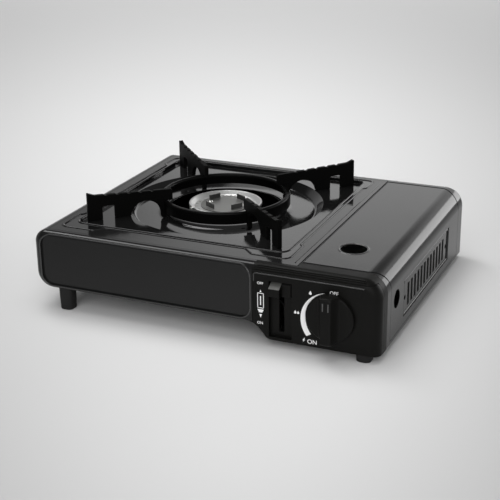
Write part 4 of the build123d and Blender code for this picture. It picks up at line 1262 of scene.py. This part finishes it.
@dataclass
class GasKnob:
    """Turning knob: a round skirt with a tapered grip bar and two pointer lines."""

    shop: Workshop
    smooth_angle: float = 40.0
    skirt: float = 4.0 * MM
    bar_foot: float = 9.5 * MM
    bar_face: float = 4.9 * MM
    flank_power: float = 1.6
    rim_round: float = 1.4 * MM
    bar_round: float = 2.6 * MM
    face_steps: int = 6
    flank_steps: int = 8
    skirt_steps: int = 12
    long_steps: int = 28
    mark_gap: float = 2.5 * MM
    mark_width: float = 1.0 * MM
    mark_low: float = 10.6 * MM
    mark_high: float = 18.0 * MM
    mark_lift: float = 0.05 * MM
    centre: Vector = field(init=False)
    radius: float = field(init=False)
    height: float = field(init=False)

    def build(self) -> None:
        """Make the knob and its pointer lines, which stay inside the CAD knob."""
        low, high = self.shop.box("gas_knob")
        self.centre = Vector(((low.x + high.x) / 2, high.y, (low.z + high.z) / 2))
        self.radius, self.height = (high.x - low.x) / 2, high.y - low.y - self.mark_lift
        mesh, slot = mesh_of("gas_knob_skin", self._form), "panel_plastic"
        shade(mesh, self.smooth_angle)
        self.shop.add("gas_knob_skin", mesh, slot, "knob", slot, "gas_knob")
        self.shop.add("knob_marks", mesh_of("knob_marks", self._marks), "grey_ink", "knob", slot)

    def _level(self, x: float, gap: float) -> float:
        """Give the height of the knob's surface.

        Args:
            x: Distance from the bar's middle.
            gap: Distance inwards from the knob's edge.

        Returns:
            Height above the knob's back.
        """
        share = min(max((self.bar_foot - abs(x)) / (self.bar_foot - self.bar_face), 0.0), 1.0)
        level = self.skirt + (self.height - self.skirt) * share ** self.flank_power
        round_off = self.rim_round + (self.bar_round - self.rim_round) * share
        short = max(round_off - gap, 0.0)
        return level - round_off + math.sqrt(max(round_off ** 2 - short ** 2, 0.0))

    def _form(self, work: bmesh.types.BMesh) -> None:
        """Add the knob as a grid of levels over a disc with a wall round it.

        Args:
            work: BMesh to add to.
        """
        flank_width, skirt_width = self.bar_foot - self.bar_face, self.radius - self.bar_foot
        right = [self.bar_face * k / self.face_steps for k in range(self.face_steps)]
        right += [self.bar_face + flank_width * k / self.flank_steps for k in range(self.flank_steps + 1)]
        right += [self.bar_foot + skirt_width * math.sin(math.pi / 2 * k / self.skirt_steps)
                  for k in range(1, self.skirt_steps + 1)]
        across = [-x for x in reversed(right[1:])] + right
        along = [math.sin(math.pi / 2 * (k / self.long_steps * 2 - 1)) for k in range(self.long_steps + 1)]
        rows = []
        for x in across:
            half = math.sqrt(max(self.radius ** 2 - x ** 2, 0.0))
            row = []
            for share in along:
                z = share * half
                gap = self.radius - math.hypot(x, z)
                row.append(work.verts.new(self.centre + Vector((x, -self._level(x, gap), z))))
            rows.append(row)
        for a, b in zip(rows, rows[1:]):
            for k in range(self.long_steps):
                work.faces.new((a[k], a[k + 1], b[k + 1], b[k]))
        rim = [row[0] for row in rows] + [row[-1] for row in reversed(rows)]
        foot = [work.verts.new(Vector((v.co.x, self.centre.y, v.co.z))) for v in rim]
        for k in range(len(rim)):
            after = (k + 1) % len(rim)
            work.faces.new((rim[k], rim[after], foot[after], foot[k]))
        work.faces.new(foot)

    def _marks(self, work: bmesh.types.BMesh) -> None:
        """Add the two pointer lines on the face of the bar.

        Args:
            work: BMesh to add to.
        """
        lift, wide = self.mark_lift, self.mark_width / 2
        front = self.centre.y - self.height - lift / 4
        for side in (-1, 1):
            x, z = self.centre.x + side * self.mark_gap, self.centre.z
            outline = [(x - wide, self.mark_low), (x + wide, self.mark_low), (x + wide, self.mark_high),
                       (x - wide, self.mark_high)]
            prism(work, [Vector((px, front, z + pz)) for px, pz in outline], Vector((0, lift, 0)))


@dataclass
class CartridgeLever:
    """Slide lever with a slanted thumb face beside a low shoulder."""

    shop: Workshop
    bevel: float = 0.5 * MM
    pad_bevel: float = 0.08 * MM
    sharp_angle: float = 30.0
    thumb_share: float = 0.55
    pad: float = 0.2 * MM
    slant: float = 4.6 * MM
    nose: float = 1.5 * MM
    shoulder: float = 5.2 * MM
    back_depth: float = 3.7 * MM
    stem_width: float = 4.0 * MM
    stem_inset: float = 2.0 * MM
    stem_x: float = 80.7 * MM
    low: Vector = field(init=False)
    high: Vector = field(init=False)
    split: float = field(init=False)
    back: float = field(init=False)

    def build(self) -> None:
        """Make the lever with its stem, and the pale pad that paints a highlight on its thumb face."""
        self.low, self.high = self.shop.box("cartridge_lever")
        self.split = self.low.x + (self.high.x - self.low.x) * self.thumb_share
        self.back = self.shop.box("control_panel")[0].y + self.back_depth
        slot = "panel_plastic"
        for name, form, finish, bevel, nodes in (
                ("cartridge_lever_skin", self._form, slot, self.bevel, ("cartridge_lever",)),
                ("thumb_painted_sheen", self._pad, "thumb_sheen_paint", self.pad_bevel, ())):
            mesh = mesh_of(name, form)
            shade(mesh, self.sharp_angle)
            piece = new_object(name, mesh, self.shop.palette.get(finish))
            soften(piece, bevel, self.sharp_angle)
            self.shop.place(piece, "lever", slot, *nodes)

    def _bar(self, work: bmesh.types.BMesh, start: float, end: float, outline: Sequence[Point]) -> None:
        """Add a bar from one x to another with a section of (y, z) corners."""
        prism(work, [Vector((start, y, z)) for y, z in outline], Vector((end - start, 0, 0)))

    def _pad(self, work: bmesh.types.BMesh) -> None:
        """Add the pale pad on the slanted face, a painted highlight of the light that falls on it.

        Args:
            work: BMesh to add to.
        """
        edge, thick = 2 * self.pad, 2 * self.pad
        near = (self.low.y + edge, self.high.z - self.slant + edge / 2)
        far = (self.back - edge, self.high.z - edge / 2)
        outline = [near, far, (far[0], far[1] - thick), (near[0], near[1] - thick)]
        self._bar(work, self.low.x + edge, self.split - edge, outline)

    def _form(self, work: bmesh.types.BMesh) -> None:
        """Add the slanted thumb block, the low shoulder beside it and the stem.

        Args:
            work: BMesh to add to.
        """
        low, high, back = self.low, self.high, self.back
        sunk, front = high.z - self.pad, low.y + self.shoulder
        self._bar(work, low.x, self.split, [
            (low.y + self.nose, low.z), (low.y, low.z + self.nose), (low.y, sunk - self.slant), (back, sunk),
            (back, low.z)])
        self._bar(work, self.split, high.x, [
            (front, low.z), (front, high.z - self.nose), (front + self.nose, high.z), (back, high.z),
            (back, low.z)])
        z0, z1, half = low.z + self.stem_inset, high.z - self.stem_inset, self.stem_width / 2
        stem = [(back, z0), (back, z1), (high.y, z1), (high.y, z0)]
        self._bar(work, self.stem_x - half, self.stem_x + half, stem)


@dataclass
class Hob:
    """Drip tray, pan support and burner."""

    shop: Workshop
    corners: tuple[str, ...] = ("front_right", "rear_right", "rear_left", "front_left")
    tray_bevel: float = 0.3 * MM
    ring_bevel: float = 0.25 * MM
    arm_bevel: float = 0.7 * MM
    support_angle: float = 40.0
    head_bevel: float = 0.25 * MM
    body_bevel: float = 0.4 * MM
    cap_bevel: float = 0.2 * MM
    hem_radius: float = 1.2 * MM
    hem_sink: float = 0.3 * MM
    upright: float = 0.35

    def build(self) -> None:
        """Skin the tray, the support and the burner, and paint shade on the upright faces of the cap with a
        darker finish.
        """
        self.shop.skin("drip_tray", self.tray_bevel)
        self._hems()
        self.shop.skin("pan_ring", self.ring_bevel, self.support_angle)
        for corner in self.corners:
            self.shop.skin(f"pan_arm_{corner}", self.arm_bevel, self.support_angle, "arm_enamel")
        self.shop.skin("burner_head", self.head_bevel)
        self.shop.skin("burner_body", self.body_bevel)
        cap = self.shop.skin("burner_cap", self.cap_bevel, finish="burner_cap")
        # Upright faces of the cap get the darker finish: painted shade.
        self.shop.second_finish(cap, "burner_cap_painted_shade", lambda face: abs(face.normal.z) < self.upright)

    def _hems(self) -> None:
        """Roll the tray's outer edge and the edge of its recess."""
        outer, recess = self.shop.crests("drip_tray")[:2]
        drop = Vector((0.0, 0.0, -self.hem_sink))
        paths = [outer.inset(self.hem_radius).moved(drop), recess.inset(-self.hem_radius).moved(drop)]
        self.shop.bead("tray_hems", "tray", "tray_enamel", paths, self.hem_radius)


@dataclass
class Fasteners:
    """Screws with a cross recess in place of the plain ones."""

    shop: Workshop
    head_radius: float = 3.0 * MM
    head_height: float = 1.6 * MM
    facing: dict[str, Facing] = field(default_factory=lambda: {
        "base_screws": Facing.DOWN, "panel_screws": Facing.DOWN, "regulator_screws": Facing.FRONT,
        "burner_screws": Facing.UP})

    def build(self) -> None:
        """Make every group of screws."""
        works, slot = self.shop.works, "bright_steel"
        for node, way in self.facing.items():
            points = self._places(node, way)
            piece = works.spread(f"{node}_cross", works.screws, points, self.shop.palette.get(slot),
                                 Head_Radius=self.head_radius, Head_Height=self.head_height, Turn=way.value)
            self.shop.place(piece, self.shop.body_of[node], slot, node)

    def _places(self, node: str, way: Facing) -> list[Vector]:
        """Find where the heads of a group of screws sit.

        Args:
            node: CAD node of the group.
            way: Way that the heads look.

        Returns:
            The foot of each head.
        """
        out = Euler(way.value).to_matrix() @ Vector((0, 0, 1))
        work = self.shop.copy(node)
        places, seen = [], set()
        for start in work.verts:
            if start.index in seen:
                continue
            island, heap = [], [start]
            while heap:
                vert = heap.pop()
                if vert.index in seen:
                    continue
                seen.add(vert.index)
                island.append(vert.co.copy())
                heap.extend(edge.other_vert(vert) for edge in vert.link_edges)
            low = Vector([min(p[k] for p in island) for k in range(3)])
            high = Vector([max(p[k] for p in island) for k in range(3)])
            middle = (low + high) / 2
            reach = max((p - middle).dot(out) for p in island)
            places.append(middle + out * (reach - self.head_height))
        work.free()
        return places


@dataclass(frozen=True)
class Lamp:
    """Soft rectangular lamp."""

    name: str
    place: Place
    size: Point
    power: float
    mirrored: bool


@dataclass
class Studio:
    """Floor, lamps, surroundings and the camera of the photograph."""

    azimuth: float = 23.94
    elevation: float = 21.09
    roll: float = -0.69
    camera_place: Place = (0.4424, -1.0105, 0.4599)
    lens: float = 85.9
    sensor: float = 36.0
    nearest: float = 0.01
    floor_size: float = 60.0
    floor_roughness: float = 0.85
    floor_bright: float = 0.88
    floor_edge: float = 0.45
    pool_wide: float = 0.21
    pool_deep: float = 0.8
    pool_middle: float = 0.5
    pool_end: float = 2.2
    pool_nearest: float = 0.3
    haze_start: float = 0.8
    haze_end: float = 3.5
    haze: float = 0.6
    sky: tuple[Point, ...] = ((0.0, 1.3), (12.0, 1.3), (22.5, 1.15), (25.5, 0.4), (28.0, 0.15), (40.0, 0.15),
                              (90.0, 0.3))
    front_share: float = 0.35
    front_start: float = 0.4
    front_end: float = -0.5
    left_share: float = 0.4
    left_start: float = -0.36
    left_end: float = -0.52
    aim: Place = (0.0, 0.0, 0.05)
    lamps: tuple[Lamp, ...] = (
        Lamp("overhead", (-0.1, -0.1, 1.7), (1.6, 1.6), 13.4, False),
        Lamp("strip", (-0.7, 0.33, 1.68), (0.5, 1.3), 11.0, True),
        Lamp("front", (0.4, -1.9, 1.3), (2.4, 1.6), 26.0, True),
        Lamp("rear_right", (1.1, 1.95, 0.42), (1.2, 0.7), 7.0, True),
    )

    def build(self) -> None:
        """Set up the whole studio."""
        bpy.context.scene.view_settings.view_transform = "Standard"
        self._camera()
        self._floor()
        self._world()
        self._lamps()

    def _axes(self) -> tuple[Vector, Vector, Vector]:
        """Work out which way the camera looks.

        Returns:
            The camera's right, up and back directions.
        """
        a, e, r = (math.radians(v) for v in (self.azimuth, self.elevation, self.roll))
        back = Vector((math.sin(a) * math.cos(e), -math.cos(a) * math.cos(e), math.sin(e)))
        level = Vector((math.cos(a), math.sin(a), 0.0))
        rise = back.cross(level)
        right = level * math.cos(r) + rise * math.sin(r)
        return right, back.cross(right), back

    def _camera(self) -> None:
        """Place the camera at the photograph's viewpoint."""
        data = bpy.data.cameras.new("camera")
        data.lens = self.lens
        data.sensor_width = self.sensor
        data.clip_start = self.nearest
        camera = bpy.data.objects.new("camera", data)
        turn = Matrix(self._axes()).transposed().to_4x4()
        camera.matrix_world = Matrix.Translation(Vector(self.camera_place)) @ turn
        bpy.context.scene.collection.objects.link(camera)
        bpy.context.scene.camera = camera

    def _floor(self) -> None:
        """Lay a pale floor with a painted pool of light round the stove that darkens further out, and pale
        again far off.
        """
        half = self.floor_size / 2
        mesh = bpy.data.meshes.new("floor")
        corners = [(-half, -half, 0), (half, -half, 0), (half, half, 0), (-half, half, 0)]
        mesh.from_pydata(corners, [], [(0, 1, 2, 3)])
        material = bpy.data.materials.new("floor_paper")
        material.use_nodes = True
        graph = Graph(material.node_tree)
        shader = material.node_tree.nodes["Principled BSDF"]
        shader.inputs["Roughness"].default_value = self.floor_roughness
        shader.inputs["Specular IOR Level"].default_value = 0.0
        shader.inputs["Emission Color"].default_value = WHITE
        place = graph.add("ShaderNodeTexCoord").outputs["Object"]
        # The base colour carries a painted pool of light: bright round the stove, darker further out.
        graph.link(self._painted_light_pool(graph, place), shader.inputs["Base Color"])
        away = graph.add("ShaderNodeVectorMath", {0: place}, operation="LENGTH").outputs["Value"]
        glow = graph.ramp(away, (self.haze_start, 0.0), (self.haze_end, self.haze), True)
        path = graph.add("ShaderNodeLightPath")
        seen = path.outputs["Is Camera Ray"]
        for kind in ("Is Glossy Ray", "Is Transmission Ray"):
            seen = graph.math("MAXIMUM", seen, path.outputs[kind])
        graph.link(graph.math("MULTIPLY", glow, seen), shader.inputs["Emission Strength"])
        new_object("floor", mesh, material)

    def _painted_light_pool(self, graph: Graph, place: bpy.types.NodeSocket) -> bpy.types.NodeSocket:
        """Give the floor's colour: a painted pool of light that falls off evenly in the photograph's picture
        plane.

        Args:
            graph: Floor material to add to.
            place: Place on the floor.

        Returns:
            The colour, with the painted pool of light.
        """
        a = math.radians(self.azimuth)
        ways = (Vector((-math.sin(a), math.cos(a), 0.0)), Vector((math.cos(a), math.sin(a), 0.0)))
        reach = []
        for way in ways:
            along = graph.add("ShaderNodeVectorMath", {0: place, 1: way}, operation="DOT_PRODUCT")
            start = way.dot(Vector(self.camera_place))
            reach.append(graph.math("SUBTRACT", along.outputs["Value"], start))
        far = graph.math("MAXIMUM", reach[0], self.pool_nearest)
        across = graph.math("DIVIDE", reach[1], far)
        depth = graph.math("SUBTRACT", graph.math("DIVIDE", 1.0, far), self.pool_middle)
        spot = graph.add("ShaderNodeCombineXYZ", {"X": graph.math("DIVIDE", across, self.pool_wide),
                                                  "Y": graph.math("DIVIDE", depth, self.pool_deep)})
        length = graph.add("ShaderNodeVectorMath", {0: spot.outputs[0]}, operation="LENGTH").outputs["Value"]
        return graph.ramp(length, (0.0, self.floor_bright), (self.pool_end, self.floor_edge), True)

    def _world(self) -> None:
        """Light the surroundings: bright behind the stove, and dim overhead, in front and to the left."""
        world = bpy.data.worlds.new("studio")
        bpy.context.scene.world = world
        world.use_nodes = True
        graph = Graph(world.node_tree)
        sky = world.node_tree.nodes["Background"]
        place = graph.add("ShaderNodeTexCoord").outputs["Generated"]
        way = graph.add("ShaderNodeSeparateXYZ", {0: place}).outputs
        peak = max(light for _, light in self.sky)
        rise = graph.add("ShaderNodeValToRGB", {"Fac": way["Z"]})
        stops = rise.color_ramp.elements
        while len(stops) < len(self.sky):
            stops.new(0.5)
        for stop, (degrees, light) in zip(stops, self.sky):
            stop.position = math.sin(math.radians(degrees))
            stop.color = (*grey(light / peak), 1.0)
        front = graph.ramp(way["Y"], (self.front_end, self.front_share * peak), (self.front_start, peak))
        left = graph.ramp(way["X"], (self.left_end, self.left_share), (self.left_start, 1.0), True)
        light = graph.math("MULTIPLY", rise.outputs["Color"], front)
        graph.link(graph.math("MULTIPLY", light, left), sky.inputs["Strength"])
        sky.inputs["Color"].default_value = WHITE

    def _lamps(self) -> None:
        """Hang the soft lamps."""
        for lamp in self.lamps:
            data = bpy.data.lights.new(lamp.name, "AREA")
            data.shape = "RECTANGLE"
            data.size, data.size_y = lamp.size
            data.energy = lamp.power
            thing = bpy.data.objects.new(lamp.name, data)
            thing.location = lamp.place
            thing.rotation_euler = (Vector(self.aim) - Vector(lamp.place)).to_track_quat("-Z", "Y").to_euler()
            thing.visible_camera = False
            thing.visible_glossy = lamp.mirrored
            bpy.context.scene.collection.objects.link(thing)


def main() -> None:
    """Load the frame, dress every sub-assembly and set up the studio."""
    logging.basicConfig(level=logging.INFO, format="%(name)s: %(message)s")
    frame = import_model()
    shop = Workshop(frame)
    shop.dress()
    for part in (Casing, CartridgeLid, ControlPanel, GasKnob, CartridgeLever, Hob, Fasteners):
        part(shop).build()
    Studio().build()


if __name__ == "__main__":
    main()
